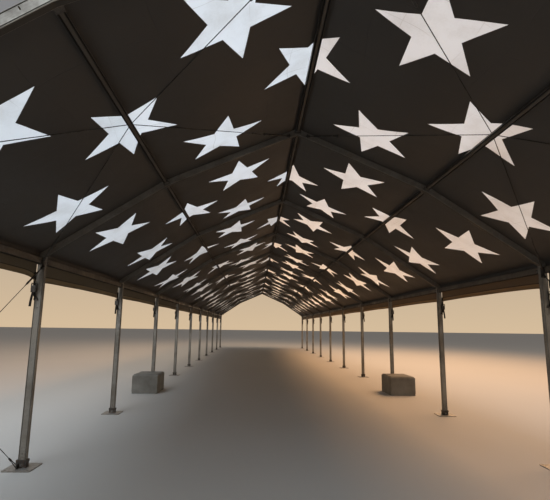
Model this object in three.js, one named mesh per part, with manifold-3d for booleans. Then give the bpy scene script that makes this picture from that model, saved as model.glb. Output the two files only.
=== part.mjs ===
// Long open-sided frame marquee: eleven aluminium portal frames with a kinked roof, tied together by five
// lines of purlins and beams, covered by ten dark roof sheets with hanging valances, and braced by crossed
// wire ropes in the two end bays. Millimetres, +Z up, X across the tent, Y along it, origin on the ground
// under the middle of the tent.
import * as THREE from "three";
import { mergeVertices } from "three/addons/utils/BufferGeometryUtils.js";
import Module from "manifold-3d";

const wasm = await Module();
wasm.setup();

// Plan of the tent
const BAY_LENGTH = 3000;
const BAY_COUNT = 10;
const FIRST_FRAME_Y = (-BAY_LENGTH * BAY_COUNT) / 2;
const CLEARANCE = 0.3;

// Centre line of one portal frame, in the X-Z plane
const POST_X = 2950;
const EAVE_Z = 2310;
const KINK_X = 1582;
const KINK_Z = 3215;
const RIDGE_Z = 3915;

// Aluminium profile of posts and rafters, with a sail track near each corner
const PROFILE_DEPTH = 84;
const PROFILE_WIDTH = 48;
const TRACK_OFFSET = 33;
const TRACK_MOUTH = 7;
const TRACK_DEPTH = 8;

// Purlins and eave beams; "top" is measured outwards from the frame's centre line
const RIDGE_BEAM = { width: 60, depth: 56, top: 28.7 };
const MID_PURLIN = { width: 50, depth: 38, top: 16.7 };
const EAVE_BEAM_WIDTH = 50;
const EAVE_BEAM_BOTTOM = 2200;
const EAVE_BEAM_TOP = 2270;

// Foot of a post
const BASE_PLATE = { width: 300, length: 300, thickness: 10 };
const FOOT_SLEEVE = { width: 104, length: 68, height: 78 };
const FOOT_COLLAR = { width: 112, length: 76, bottom: 62, top: 88 };

// Roof sheets
const SHEET_THICKNESS = 6;
const SHEET_IN_TRACK = 6;
const SHEET_SAG = 35;
const SHEET_REST = 60;
const SHEET_STEPS_ACROSS = 2;
const SHEET_STEPS_ALONG = 4;
const VALANCE_BOTTOM = 1980;
const VALANCE_END_SLIT = 50;

// Wire-rope bracing of the end bays
const ROPE_DIAMETER = 8;
const ROPE_SIDES = 6;
const ROPE_BEND_RADIUS = 5.5;
const ROPE_ABOVE_PURLIN = 2.3;
const WALL_ROPE_ASIDE = 5;
const TENSIONER = { diameter: 22, length: 270, fromEnd: 110, twist: Math.PI / 12 };
const EYE_PLATE = { thickness: 12, length: 55, height: 50, eyeFromFace: 35 };
const EAVE_EYES = { x: 2913, wallZ: 2166, roofZ: 2240 };
const FOOT_EYE = { x: 2970, z: 36 };
const RIDGE_EYE = { x: 110, belowCentreLine: 35 };

// Concrete ballast blocks that bear on the base plates of the fourth frame
const BLOCK = { width: 570, length: 750, height: 420, chamfer: 30 };
const BLOCK_FRAME = 3;

const BLOCK_TO_FRAME = FOOT_COLLAR.length / 2 + CLEARANCE;

const frameY = (index) => FIRST_FRAME_Y + index * BAY_LENGTH;

const FRAME_LINE = [
  new THREE.Vector2(-POST_X, 0),
  new THREE.Vector2(-POST_X, EAVE_Z),
  new THREE.Vector2(-KINK_X, KINK_Z),
  new THREE.Vector2(0, RIDGE_Z),
  new THREE.Vector2(KINK_X, KINK_Z),
  new THREE.Vector2(POST_X, EAVE_Z),
  new THREE.Vector2(POST_X, 0),
];
const CORNER = { leftFoot: 0, leftEave: 1, leftKink: 2, ridge: 3, rightKink: 4, rightEave: 5, rightFoot: 6 };

const materials = {
  aluminium: new THREE.MeshStandardMaterial({ color: 0xb9b8b2, roughness: 0.45, metalness: 0.9 }),
  steelPost: new THREE.MeshStandardMaterial({ color: 0xa9a8a2, roughness: 0.5, metalness: 0.9 }),
  sheet: new THREE.MeshStandardMaterial({ color: 0x3d3834, roughness: 0.6, metalness: 0 }),
  rope: new THREE.MeshStandardMaterial({ color: 0x4a4a48, roughness: 0.5, metalness: 0.8 }),
  concrete: new THREE.MeshStandardMaterial({ color: 0xaaa59b, roughness: 0.9, metalness: 0 }),
};

// Outward direction of one stretch of the frame line
function stretchNormal(index) {
  const along = FRAME_LINE[index + 1].clone().sub(FRAME_LINE[index]).normalize();
  return new THREE.Vector2(-along.y, along.x);
}

// Vector that moves a corner of the frame line outwards by one millimetre, measured square to both stretches
function cornerOffset(index) {
  const before = stretchNormal(Math.max(index - 1, 0));
  const after = stretchNormal(Math.min(index, FRAME_LINE.length - 2));
  const mitre = before.clone().add(after).normalize();
  return mitre.divideScalar(mitre.dot(after));
}

// Point of the frame line, from corner "index" towards the next, moved outwards by "offset"
function framePoint(index, fraction, offset) {
  const start = FRAME_LINE[index].clone().addScaledVector(cornerOffset(index), offset);
  if (fraction === 0) return start;
  const end = FRAME_LINE[index + 1].clone().addScaledVector(cornerOffset(index + 1), offset);
  return start.lerp(end, fraction);
}

// Triangles that close a plain outline
function flatCap(outline) {
  const turn = THREE.ShapeUtils.area(outline);
  return THREE.ShapeUtils.triangulateShape(outline, []).map((triangle) => {
    const corners = triangle.map((corner) => outline[corner]);
    return THREE.ShapeUtils.area(corners) * turn > 0 ? triangle : [...triangle].reverse();
  });
}

// Triangles that close a thin band, whose outline runs along one face and back along the other
function bandCap(outline) {
  const triangles = [];
  const last = outline.length - 1;
  for (let step = 0; step < last / 2 - 1; step += 1) {
    triangles.push([step, step + 1, last - step - 1], [step, last - step - 1, last - step]);
  }
  return triangles;
}

// Closed mesh with its faces pointing out, from rings of points joined in order and capped at both ends
function loft(rings, cap) {
  const count = rings[0].length;
  const positions = rings.flat().flatMap((point) => [point.x, point.y, point.z]);
  const indices = [];
  for (let ring = 0; ring + 1 < rings.length; ring += 1) {
    for (let side = 0; side < count; side += 1) {
      const next = (side + 1) % count;
      const a = ring * count + side;
      const b = ring * count + next;
      indices.push(a, b, b + count, a, b + count, a + count);
    }
  }
  const last = (rings.length - 1) * count;
  for (const [a, b, c] of cap) {
    indices.push(c, b, a);
    indices.push(last + a, last + b, last + c);
  }
  return facingOut(positions, indices);
}

function facingOut(positions, indices) {
  const at = (index) => new THREE.Vector3().fromArray(positions, index * 3);
  let volume = 0;
  for (let i = 0; i < indices.length; i += 3) {
    volume += at(indices[i]).dot(at(indices[i + 1]).cross(at(indices[i + 2])));
  }
  const ordered = volume < 0 ? indices.slice().reverse() : indices;
  const geometry = new THREE.BufferGeometry();
  geometry.setAttribute("position", new THREE.Float32BufferAttribute(positions, 3));
  geometry.setIndex(ordered);
  return geometry;
}

function toSolid(geometry) {
  const plain = geometry.clone();
  plain.deleteAttribute("normal");
  plain.deleteAttribute("uv");
  const merged = mergeVertices(plain, 1e-4);
  const vertProperties = new Float32Array(merged.attributes.position.array);
  const triVerts = new Uint32Array(merged.index.array);
  return new wasm.Manifold(new wasm.Mesh({ numProp: 3, vertProperties, triVerts }));
}

function toGeometry(solid) {
  const mesh = solid.getMesh();
  const geometry = new THREE.BufferGeometry();
  geometry.setAttribute("position", new THREE.Float32BufferAttribute(mesh.vertProperties, 3));
  geometry.setIndex(Array.from(mesh.triVerts));
  return geometry;
}

// Box given by its lowest and highest corners
function boxBetween(low, high) {
  const size = high.map((value, axis) => value - low[axis]);
  const middle = high.map((value, axis) => (value + low[axis]) / 2);
  return new THREE.BoxGeometry(...size).translate(...middle);
}

// Outline of the profile: x is the offset in the frame's plane, y runs along the tent
function profileOutline() {
  const half = PROFILE_DEPTH / 2;
  const side = PROFILE_WIDTH / 2;
  const floor = side - TRACK_DEPTH;
  const edges = [-TRACK_OFFSET, TRACK_OFFSET].flatMap((centre) => {
    const near = centre - TRACK_MOUTH / 2;
    const far = centre + TRACK_MOUTH / 2;
    return [[near, side], [near, floor], [far, floor], [far, side]];
  });
  const oneSide = [[-half, side], ...edges, [half, side]];
  const otherSide = oneSide.map(([x, y]) => [x, -y]).reverse();
  return [...oneSide, ...otherSide].map(([x, y]) => new THREE.Vector2(x, y));
}

// Profile swept along the frame line from one corner to another, with mitred ends shortened by "gap"
function sweepProfile(first, last, gap) {
  const outline = profileOutline();
  const rings = [];
  for (let corner = first; corner <= last; corner += 1) {
    const shift = new THREE.Vector2();
    if (corner === first) shift.copy(FRAME_LINE[first + 1]).sub(FRAME_LINE[first]).setLength(gap);
    if (corner === last) shift.copy(FRAME_LINE[last - 1]).sub(FRAME_LINE[last]).setLength(gap);
    rings.push(outline.map((point) => {
      const place = framePoint(corner, 0, point.x).add(shift);
      return new THREE.Vector3(place.x, point.y, place.y);
    }));
  }
  return loft(rings, flatCap(outline));
}

// Section of a purlin whose top follows both roof slopes at a corner of the frame line
function purlinOutline(corner, size, grow) {
  const outwards = cornerOffset(corner).normalize();
  const across = new THREE.Vector2(outwards.y, -outwards.x);
  const halfTurn = Math.acos(stretchNormal(corner).dot(outwards));
  const halfWidth = size.width / 2 + grow;
  const shoulder = halfWidth * Math.tan(halfTurn);
  const depth = size.depth + 2 * grow;
  const apex = framePoint(corner, 0, size.top + grow);
  const place = (x, y) => apex.clone().addScaledVector(across, x).addScaledVector(outwards, y);
  return [
    place(0, 0),
    place(halfWidth, -shoulder),
    place(halfWidth, -depth),
    place(-halfWidth, -depth),
    place(-halfWidth, -shoulder),
  ];
}

// Straight bar along Y with the given X-Z outline
function barAlong(outline, startY, endY) {
  const ring = (y) => outline.map((point) => new THREE.Vector3(point.x, y, point.y));
  return loft([ring(startY), ring(endY)], flatCap(outline));
}

const FRAME_HALF = PROFILE_WIDTH / 2;
const RUN_START = FIRST_FRAME_Y - FRAME_HALF;
const RUN_END = -RUN_START;

function purlinRun(corner, size) {
  return barAlong(purlinOutline(corner, size, 0), RUN_START, RUN_END);
}

function purlinHole(corner, size) {
  return toSolid(barAlong(purlinOutline(corner, size, CLEARANCE), -PROFILE_WIDTH, PROFILE_WIDTH));
}

function roofArch() {
  return toGeometry(
    toSolid(sweepProfile(CORNER.leftEave, CORNER.rightEave, CLEARANCE))
      .subtract(purlinHole(CORNER.leftKink, MID_PURLIN))
      .subtract(purlinHole(CORNER.ridge, RIDGE_BEAM))
      .subtract(purlinHole(CORNER.rightKink, MID_PURLIN)),
  );
}

function eaveBeam(side) {
  const half = EAVE_BEAM_WIDTH / 2;
  const centre = side * POST_X;
  return boxBetween([centre - half, RUN_START, EAVE_BEAM_BOTTOM], [centre + half, RUN_END, EAVE_BEAM_TOP]);
}

// Post with its steel foot: base plate, sleeve and the thicker collar round the top of the sleeve
function post(side) {
  const centre = side * POST_X;
  const stretch = side < 0 ? [CORNER.leftFoot, CORNER.leftEave] : [CORNER.rightEave, CORNER.rightFoot];
  const column = (size, low, high) => toSolid(boxBetween(
    [centre - size.width / 2, -size.length / 2, low],
    [centre + size.width / 2, size.length / 2, high],
  ));
  const halfHole = EAVE_BEAM_WIDTH / 2 + CLEARANCE;
  const beamHole = toSolid(boxBetween(
    [centre - halfHole, -PROFILE_WIDTH, EAVE_BEAM_BOTTOM - CLEARANCE],
    [centre + halfHole, PROFILE_WIDTH, EAVE_BEAM_TOP + CLEARANCE],
  ));
  return toGeometry(
    toSolid(sweepProfile(...stretch, 0))
      .add(column(BASE_PLATE, 0, BASE_PLATE.thickness))
      .add(column(FOOT_SLEEVE, 0, FOOT_SLEEVE.height))
      .add(column(FOOT_COLLAR, FOOT_COLLAR.bottom, FOOT_COLLAR.top))
      .subtract(beamHole),
  );
}

// Roof part of a sheet: it hangs a little between the purlins and between the frames
function roofSheet() {
  const bayHalf = BAY_LENGTH / 2 - FRAME_HALF;
  const stationsY = [-bayHalf - SHEET_IN_TRACK];
  for (let step = 0; step <= SHEET_STEPS_ALONG; step += 1) {
    stationsY.push(-bayHalf + (2 * bayHalf * step) / SHEET_STEPS_ALONG);
  }
  stationsY.push(bayHalf + SHEET_IN_TRACK);
  const sagAt = (hanging, y) => {
    const along = Math.cos((Math.PI * Math.min(Math.abs(y), bayHalf)) / (2 * bayHalf));
    return SHEET_SAG * Math.sin(Math.PI * hanging) * along;
  };
  const edge = (y, offset) => {
    const points = [];
    for (let stretch = CORNER.leftEave; stretch < CORNER.rightEave; stretch += 1) {
      const rest = SHEET_REST / FRAME_LINE[stretch].distanceTo(FRAME_LINE[stretch + 1]);
      points.push(framePoint(stretch, 0, offset));
      for (let step = 0; step <= SHEET_STEPS_ACROSS; step += 1) {
        const hanging = step / SHEET_STEPS_ACROSS;
        const fraction = rest + (1 - 2 * rest) * hanging;
        points.push(framePoint(stretch, fraction, offset - sagAt(hanging, y)));
      }
    }
    points.push(framePoint(CORNER.rightEave, 0, offset));
    return points;
  };
  const outline = (y) => [
    ...edge(y, TRACK_OFFSET + SHEET_THICKNESS / 2),
    ...edge(y, TRACK_OFFSET - SHEET_THICKNESS / 2).reverse(),
  ];
  const rings = stationsY.map((y) => outline(y).map((point) => new THREE.Vector3(point.x, y, point.y)));
  return toSolid(loft(rings, bandCap(rings[0])));
}

// Valance that hangs from one eave of a sheet, with a slit to the post at each end
function valance(side) {
  const bayHalf = BAY_LENGTH / 2 - FRAME_HALF - VALANCE_END_SLIT;
  const corner = side < 0 ? CORNER.leftEave : CORNER.rightEave;
  const outer = framePoint(corner, 0, TRACK_OFFSET + SHEET_THICKNESS / 2);
  const inner = framePoint(corner, 0, TRACK_OFFSET - SHEET_THICKNESS / 2);
  const outline = [
    outer,
    inner,
    new THREE.Vector2(inner.x, VALANCE_BOTTOM),
    new THREE.Vector2(outer.x, VALANCE_BOTTOM),
  ];
  return toSolid(barAlong(outline, -bayHalf, bayHalf));
}

function sheet() {
  return toGeometry(roofSheet().add(valance(-1)).add(valance(1)));
}

// Round bar between two points, with few sides and turned about its own axis by "twist"
function rod(start, end, diameter, twist = 0) {
  const along = end.clone().sub(start);
  const turn = new THREE.Quaternion().setFromUnitVectors(new THREE.Vector3(0, 1, 0), along.clone().normalize());
  const upright = new THREE.CylinderGeometry(diameter / 2, diameter / 2, along.length(), ROPE_SIDES);
  const geometry = upright.rotateY(twist);
  const middle = start.clone().lerp(end, 0.5);
  return toSolid(geometry.applyQuaternion(turn).translate(middle.x, middle.y, middle.z));
}

// Rope through its points, with a ball where it bends and a tensioner near its first end
function rope(points) {
  let solid = rod(points[0], points[1], ROPE_DIAMETER);
  for (let index = 1; index + 1 < points.length; index += 1) {
    const bend = new THREE.IcosahedronGeometry(ROPE_BEND_RADIUS).translate(...points[index]);
    solid = solid.add(rod(points[index], points[index + 1], ROPE_DIAMETER)).add(toSolid(bend));
  }
  const along = points[1].clone().sub(points[0]).normalize();
  const near = points[0].clone().addScaledVector(along, TENSIONER.fromEnd);
  const far = near.clone().addScaledVector(along, TENSIONER.length);
  return solid.add(rod(near, far, TENSIONER.diameter, TENSIONER.twist));
}

// Steel plate that stands off a frame's face, round the rope eyes at the given heights; "inwards" points
// into the bay
function eyePlate(x, heights, faceY, inwards) {
  const start = faceY + inwards * CLEARANCE;
  const end = faceY + inwards * EYE_PLATE.length;
  const half = EYE_PLATE.height / 2;
  return toSolid(boxBetween(
    [x - EYE_PLATE.thickness / 2, Math.min(start, end), Math.min(...heights) - half],
    [x + EYE_PLATE.thickness / 2, Math.max(start, end), Math.max(...heights) + half],
  ));
}

// Crossed ropes of one side of an end bay. The two in the wall pass each other on the two sides of their
// plates, and the two under the roof bend and join where they cross on top of the mid purlin
function bracing(side, startFrame) {
  const middleY = frameY(startFrame + 0.5);
  const kink = side < 0 ? CORNER.leftKink : CORNER.rightKink;
  const crossing = framePoint(kink, 0, MID_PURLIN.top + ROPE_ABOVE_PURLIN + ROPE_DIAMETER / 2);
  const centreLineZ = RIDGE_Z - (RIDGE_EYE.x * (RIDGE_Z - KINK_Z)) / KINK_X;
  const parts = [];
  const anchor = (x, heights, inwards, halfDepth) => {
    const faceY = middleY - inwards * (BAY_LENGTH / 2 - halfDepth);
    parts.push(eyePlate(side * x, heights, faceY, inwards));
    return heights.map((z) => new THREE.Vector3(side * x, faceY + inwards * EYE_PLATE.eyeFromFace, z));
  };
  const wallEye = {};
  const roofEye = {};
  for (const inwards of [1, -1]) {
    const heights = [EAVE_EYES.wallZ, EAVE_EYES.roofZ];
    [wallEye[inwards], roofEye[inwards]] = anchor(EAVE_EYES.x, heights, inwards, FRAME_HALF);
  }
  for (const inwards of [1, -1]) {
    const [ridge] = anchor(RIDGE_EYE.x, [centreLineZ - RIDGE_EYE.belowCentreLine], -inwards, FRAME_HALF);
    const [foot] = anchor(FOOT_EYE.x, [FOOT_EYE.z], inwards, FOOT_SLEEVE.length / 2);
    parts.push(rope([ridge, new THREE.Vector3(crossing.x, middleY, crossing.y), roofEye[inwards]]));
    const aside = new THREE.Vector3(inwards * WALL_ROPE_ASIDE, 0, 0);
    parts.push(rope([wallEye[-inwards].clone().add(aside), foot.add(aside)]));
  }
  return toGeometry(parts.reduce((whole, part) => whole.add(part)));
}

// Concrete block with chamfered upper edges; its rear end sits over the front of a base plate
function ballastBlock() {
  const section = (halfWidth, halfLength, z) => [
    new THREE.Vector3(-halfWidth, -halfLength, z),
    new THREE.Vector3(halfWidth, -halfLength, z),
    new THREE.Vector3(halfWidth, halfLength, z),
    new THREE.Vector3(-halfWidth, halfLength, z),
  ];
  const halfWidth = BLOCK.width / 2;
  const halfLength = BLOCK.length / 2;
  const rings = [
    section(halfWidth, halfLength, 0),
    section(halfWidth, halfLength, BLOCK.height - BLOCK.chamfer),
    section(halfWidth - BLOCK.chamfer, halfLength - BLOCK.chamfer, BLOCK.height),
  ];
  const solid = toSolid(loft(rings, flatCap(rings[0].map((point) => new THREE.Vector2(point.x, point.y)))));
  const plateY = halfLength + BLOCK_TO_FRAME;
  const rebate = boxBetween(
    [-BASE_PLATE.width / 2 - CLEARANCE, plateY - BASE_PLATE.length / 2 - CLEARANCE, -BASE_PLATE.thickness],
    [BASE_PLATE.width / 2 + CLEARANCE, plateY, BASE_PLATE.thickness + CLEARANCE],
  );
  return toGeometry(solid.subtract(toSolid(rebate)));
}

const tent = new THREE.Group();

function place(parent, name, geometry, material, x = 0, y = 0) {
  geometry.computeVertexNormals();
  const mesh = new THREE.Mesh(geometry, material);
  mesh.name = name;
  mesh.position.set(x, y, 0);
  parent.add(mesh);
}

const numbered = (name, index) => `${name}_${String(index + 1).padStart(2, "0")}`;
const SIDES = { left: -1, right: 1 };

const frames = new THREE.Group();
const archShape = roofArch();
for (let index = 0; index <= BAY_COUNT; index += 1) {
  const frame = new THREE.Group();
  frame.position.y = frameY(index);
  for (const [word, side] of Object.entries(SIDES)) {
    place(frame, numbered(`post_${word}`, index), post(side), materials.steelPost);
  }
  place(frame, numbered("roof_arch", index), archShape.clone(), materials.aluminium);
  frames.add(frame);
}
tent.add(frames);

const runs = new THREE.Group();
place(runs, "ridge_beam", purlinRun(CORNER.ridge, RIDGE_BEAM), materials.aluminium);
place(runs, "mid_purlin_left", purlinRun(CORNER.leftKink, MID_PURLIN), materials.aluminium);
place(runs, "mid_purlin_right", purlinRun(CORNER.rightKink, MID_PURLIN), materials.aluminium);
place(runs, "eave_beam_left", eaveBeam(SIDES.left), materials.aluminium);
place(runs, "eave_beam_right", eaveBeam(SIDES.right), materials.aluminium);
tent.add(runs);

const covers = new THREE.Group();
const sheetShape = sheet();
for (let bay = 0; bay < BAY_COUNT; bay += 1) {
  place(covers, numbered("roof_cover", bay), sheetShape.clone(), materials.sheet, 0, frameY(bay + 0.5));
}
tent.add(covers);

const braces = new THREE.Group();
for (const [word, side] of Object.entries(SIDES)) {
  place(braces, `bracing_front_${word}`, bracing(side, 0), materials.rope);
  place(braces, `bracing_back_${word}`, bracing(side, BAY_COUNT - 1), materials.rope);
}
tent.add(braces);

const ballast = new THREE.Group();
const blockY = frameY(BLOCK_FRAME) - BLOCK_TO_FRAME - BLOCK.length / 2;
for (const [word, side] of Object.entries(SIDES)) {
  place(ballast, `ballast_block_${word}`, ballastBlock(), materials.concrete, side * POST_X, blockY);
}
tent.add(ballast);

export default tent;
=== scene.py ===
# Open-sided frame marquee: eleven aluminium frames, ten dark roof covers with pale star panels, and two
# concrete ballast blocks. Metres, +Z up, X across the tent, Y along it, origin on the ground at its middle.
import math
import random

import bmesh
import bpy
from mathutils import Matrix, Vector, noise
from mathutils.geometry import delaunay_2d_cdt


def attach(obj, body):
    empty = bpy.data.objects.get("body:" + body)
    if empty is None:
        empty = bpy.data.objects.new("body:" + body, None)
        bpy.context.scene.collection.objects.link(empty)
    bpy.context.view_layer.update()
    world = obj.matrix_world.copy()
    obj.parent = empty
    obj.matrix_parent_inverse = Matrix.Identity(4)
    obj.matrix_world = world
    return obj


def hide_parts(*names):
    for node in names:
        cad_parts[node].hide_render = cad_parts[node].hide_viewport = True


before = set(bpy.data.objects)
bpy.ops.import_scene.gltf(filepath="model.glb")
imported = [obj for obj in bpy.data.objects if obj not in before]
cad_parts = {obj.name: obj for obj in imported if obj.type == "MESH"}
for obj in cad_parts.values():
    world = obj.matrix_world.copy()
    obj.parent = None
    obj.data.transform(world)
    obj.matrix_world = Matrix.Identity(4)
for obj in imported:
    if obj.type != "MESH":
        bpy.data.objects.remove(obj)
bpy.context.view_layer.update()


# Camera
# It stands at the mouth of the tent, a little left of the middle, at eye height, and looks along the tent and
# slightly up. Its place, turn and focal length put all eleven frames where the photograph has them.
EYE = Vector((-0.486, -17.08, 1.528))
YAW = 0.0335
PITCH = 0.1661
ROLL = 0.0131
FOCAL_LENGTH_IN_PIXELS = 436.4
IMAGE_WIDTH_IN_PIXELS = 550
SENSOR_WIDTH = 36.0
SHIFT = (0.0078, 0.0061)
FAR_CLIP = 400.0


def make_camera():
    data = bpy.data.cameras.new("camera")
    data.sensor_width = SENSOR_WIDTH
    data.lens = SENSOR_WIDTH * FOCAL_LENGTH_IN_PIXELS / IMAGE_WIDTH_IN_PIXELS
    data.shift_x, data.shift_y = SHIFT
    data.clip_end = FAR_CLIP
    flat = math.cos(PITCH)
    forward = Vector((math.sin(YAW) * flat, math.cos(YAW) * flat, math.sin(PITCH)))
    level = Vector((math.cos(YAW), -math.sin(YAW), 0.0))
    right = level * math.cos(ROLL) + level.cross(forward) * math.sin(ROLL)
    up = right.cross(forward)
    camera = bpy.data.objects.new("camera", data)
    camera.matrix_world = Matrix.Translation(EYE) @ Matrix((right, up, -forward)).transposed().to_4x4()
    bpy.context.scene.collection.objects.link(camera)
    bpy.context.scene.camera = camera


make_camera()


# Floor and light
# A plain pale floor and soft light: a pale surround, warmer low down than overhead, and four wide softboxes.
# Cool ones hang above the front and before the mouth, warm ones above the back and along the right side.
FLOOR_HALF = 160.0
FLOOR_COLOUR = (0.5, 0.48, 0.45, 1.0)
FLOOR_ROUGHNESS = 0.85
FLOOR_MOTTLE_SCALE = 0.35
FLOOR_MOTTLE_SHADE = 0.94
SURROUND_LOW_COLOUR = (1.0, 0.76, 0.5, 1.0)
SURROUND_HIGH_COLOUR = (0.36, 0.36, 0.37, 1.0)
SURROUND_TURNS_AT = (0.0, 0.45)
SURROUND_STRENGTH = 0.66
SOFTBOXES = {
    "above": {"place": (-3.5, -14.0, 10.0), "aim": (-2.5, -14.0, 0.0), "size": (9.0, 10.0), "power": 760.0,
              "colour": (0.74, 0.87, 1.0)},
    "behind": {"place": (0.0, 8.0, 15.0), "aim": (0.0, 8.0, 0.0), "size": (24.0, 14.0), "power": 1350.0,
               "colour": (1.0, 0.78, 0.55)},
    "right": {"place": (10.0, 1.0, 11.0), "aim": (1.5, 1.0, 3.0), "size": (22.0, 6.0), "power": 2700.0,
              "colour": (1.0, 0.56, 0.26)},
    "front": {"place": (-8.0, -28.0, 12.0), "aim": (-2.0, -15.0, 3.0), "size": (18.0, 9.0), "power": 1400.0,
              "colour": (0.76, 0.88, 1.0)},
}


def add_node(tree, kind, inputs=None, **settings):
    """A node whose inputs are values or other nodes' outputs, and whose settings are its own properties."""
    made = tree.nodes.new(kind)
    for name, value in settings.items():
        setattr(made, name, value)
    for name, value in (inputs or {}).items():
        if isinstance(value, bpy.types.NodeSocket):
            tree.links.new(value, made.inputs[name])
        else:
            made.inputs[name].default_value = value
    return made


def new_material(name):
    material = bpy.data.materials.new(name)
    material.use_nodes = True
    material.node_tree.nodes.clear()
    return material, material.node_tree


def mixed_colour(tree, factor, first, second):
    """The first colour at factor 0 and the second at factor 1, by the Mix node's own input numbers."""
    return add_node(tree, "ShaderNodeMix", {0: factor, 6: first, 7: second}, data_type="RGBA").outputs[2]


def noise_texture(tree, vector, scale, detail, roughness=0.5):
    inputs = {"Vector": vector, "Scale": scale, "Detail": detail, "Roughness": roughness}
    return add_node(tree, "ShaderNodeTexNoise", inputs).outputs["Fac"]


def shaded(colour, share):
    """The colour made darker, or lighter up to white."""
    return [min(1.0, channel * share) for channel in colour[:3]] + [1.0]


def finish_material(tree, shader):
    add_node(tree, "ShaderNodeOutputMaterial", {"Surface": shader})


def floor_material():
    material, tree = new_material("pale_floor")
    place = add_node(tree, "ShaderNodeTexCoord").outputs["Object"]
    mottle = noise_texture(tree, place, FLOOR_MOTTLE_SCALE, 3.0)
    colour = mixed_colour(tree, mottle, FLOOR_COLOUR, shaded(FLOOR_COLOUR, FLOOR_MOTTLE_SHADE))
    shader = add_node(tree, "ShaderNodeBsdfPrincipled", {"Base Color": colour, "Roughness": FLOOR_ROUGHNESS})
    finish_material(tree, shader.outputs[0])
    return material


def make_floor():
    mesh = bpy.data.meshes.new("floor")
    corners = [(-1, -1), (1, -1), (1, 1), (-1, 1)]
    mesh.from_pydata([(x * FLOOR_HALF, y * FLOOR_HALF, 0.0) for x, y in corners], [], [(0, 1, 2, 3)])
    mesh.materials.append(floor_material())
    floor = bpy.data.objects.new("floor", mesh)
    bpy.context.scene.collection.objects.link(floor)


def make_softbox(name, box):
    data = bpy.data.lights.new(name, "AREA")
    data.shape = "RECTANGLE"
    data.size, data.size_y = box["size"]
    data.energy = box["power"]
    data.color = box["colour"]
    lamp = bpy.data.objects.new(name, data)
    place = Vector(box["place"])
    towards = (Vector(box["aim"]) - place).normalized()
    wide = towards.cross(Vector((0.0, 0.0, 1.0)))
    wide = wide.normalized() if wide.length > 0.01 else Vector((0.0, 1.0, 0.0))
    turn = Matrix((wide, (-towards).cross(wide), -towards)).transposed().to_4x4()
    lamp.matrix_world = Matrix.Translation(place) @ turn
    bpy.context.scene.collection.objects.link(lamp)


def make_surround():
    world = bpy.data.worlds.new("surround")
    world.use_nodes = True
    tree = world.node_tree
    direction = add_node(tree, "ShaderNodeTexCoord").outputs["Generated"]
    height = add_node(tree, "ShaderNodeSeparateXYZ", {0: direction}).outputs[2]
    low, high = SURROUND_TURNS_AT
    share = add_node(tree, "ShaderNodeMapRange", {"Value": height, "From Min": low, "From Max": high})
    colour = mixed_colour(tree, share.outputs[0], SURROUND_LOW_COLOUR, SURROUND_HIGH_COLOUR)
    background = tree.nodes["Background"]
    tree.links.new(colour, background.inputs["Color"])
    background.inputs["Strength"].default_value = SURROUND_STRENGTH
    bpy.context.scene.world = world


make_floor()
make_surround()
for side_word, softbox in SOFTBOXES.items():
    make_softbox("softbox_" + side_word, softbox)
bpy.context.scene.view_settings.view_transform = "Standard"


# Posts
# Each post is one length of drawn aluminium, 84 by 48 mm, with a keyhole track near each corner for a sheet's
# bead. It stands in a steel foot and is mitred to the roof arch at the eave. Two bolt holes go through it.
BAY = 3.0
BAYS = 10
FIRST_FRAME = -15.0
POST_X = 2.95
EAVE_Z = 2.31
KINK_X = 1.582
KINK_Z = 3.215
RIDGE_Z = 3.915
FRAME_LINE = [
    Vector((-POST_X, 0.0)), Vector((-POST_X, EAVE_Z)), Vector((-KINK_X, KINK_Z)), Vector((0.0, RIDGE_Z)),
    Vector((KINK_X, KINK_Z)), Vector((POST_X, EAVE_Z)), Vector((POST_X, 0.0)),
]
LEFT_EAVE = 1
LEFT_KINK = 2
RIDGE = 3
RIGHT_KINK = 4
RIGHT_EAVE = 5
SIDES = {"left": -1, "right": 1}
PROFILE_HALF_DEPTH = 0.042
PROFILE_HALF_WIDTH = 0.024
CORNER_RADIUS = 0.004
CORNER_STEPS = 3
TRACK_OFFSET = 0.033
TRACK_MOUTH = 0.007
TRACK_LIP = 0.003
TRACK_WIDTH = 0.012
TRACK_DEPTH = 0.013
POST_START_Z = 0.012
JOINT_GAP = 0.0006
POST_HOLE_DIAMETER = 0.014
POST_HOLES_Z = (0.148, 1.706)


def frame_y(index):
    return FIRST_FRAME + BAY * index


def at_frame(index):
    return Matrix.Translation((0.0, frame_y(index), 0.0))


def stretch_normal(index):
    """Outward direction of one straight stretch of the frame line, in the X-Z plane."""
    along = (FRAME_LINE[index + 1] - FRAME_LINE[index]).normalized()
    return Vector((-along.y, along.x))


def corner_offset(index):
    """How far a corner moves when both stretches beside it move outwards by one."""
    before = stretch_normal(max(index - 1, 0))
    after = stretch_normal(min(index, len(FRAME_LINE) - 2))
    mitre = (before + after).normalized()
    return mitre / mitre.dot(after)


def frame_point(index, offset):
    return FRAME_LINE[index] + corner_offset(index) * offset


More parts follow.
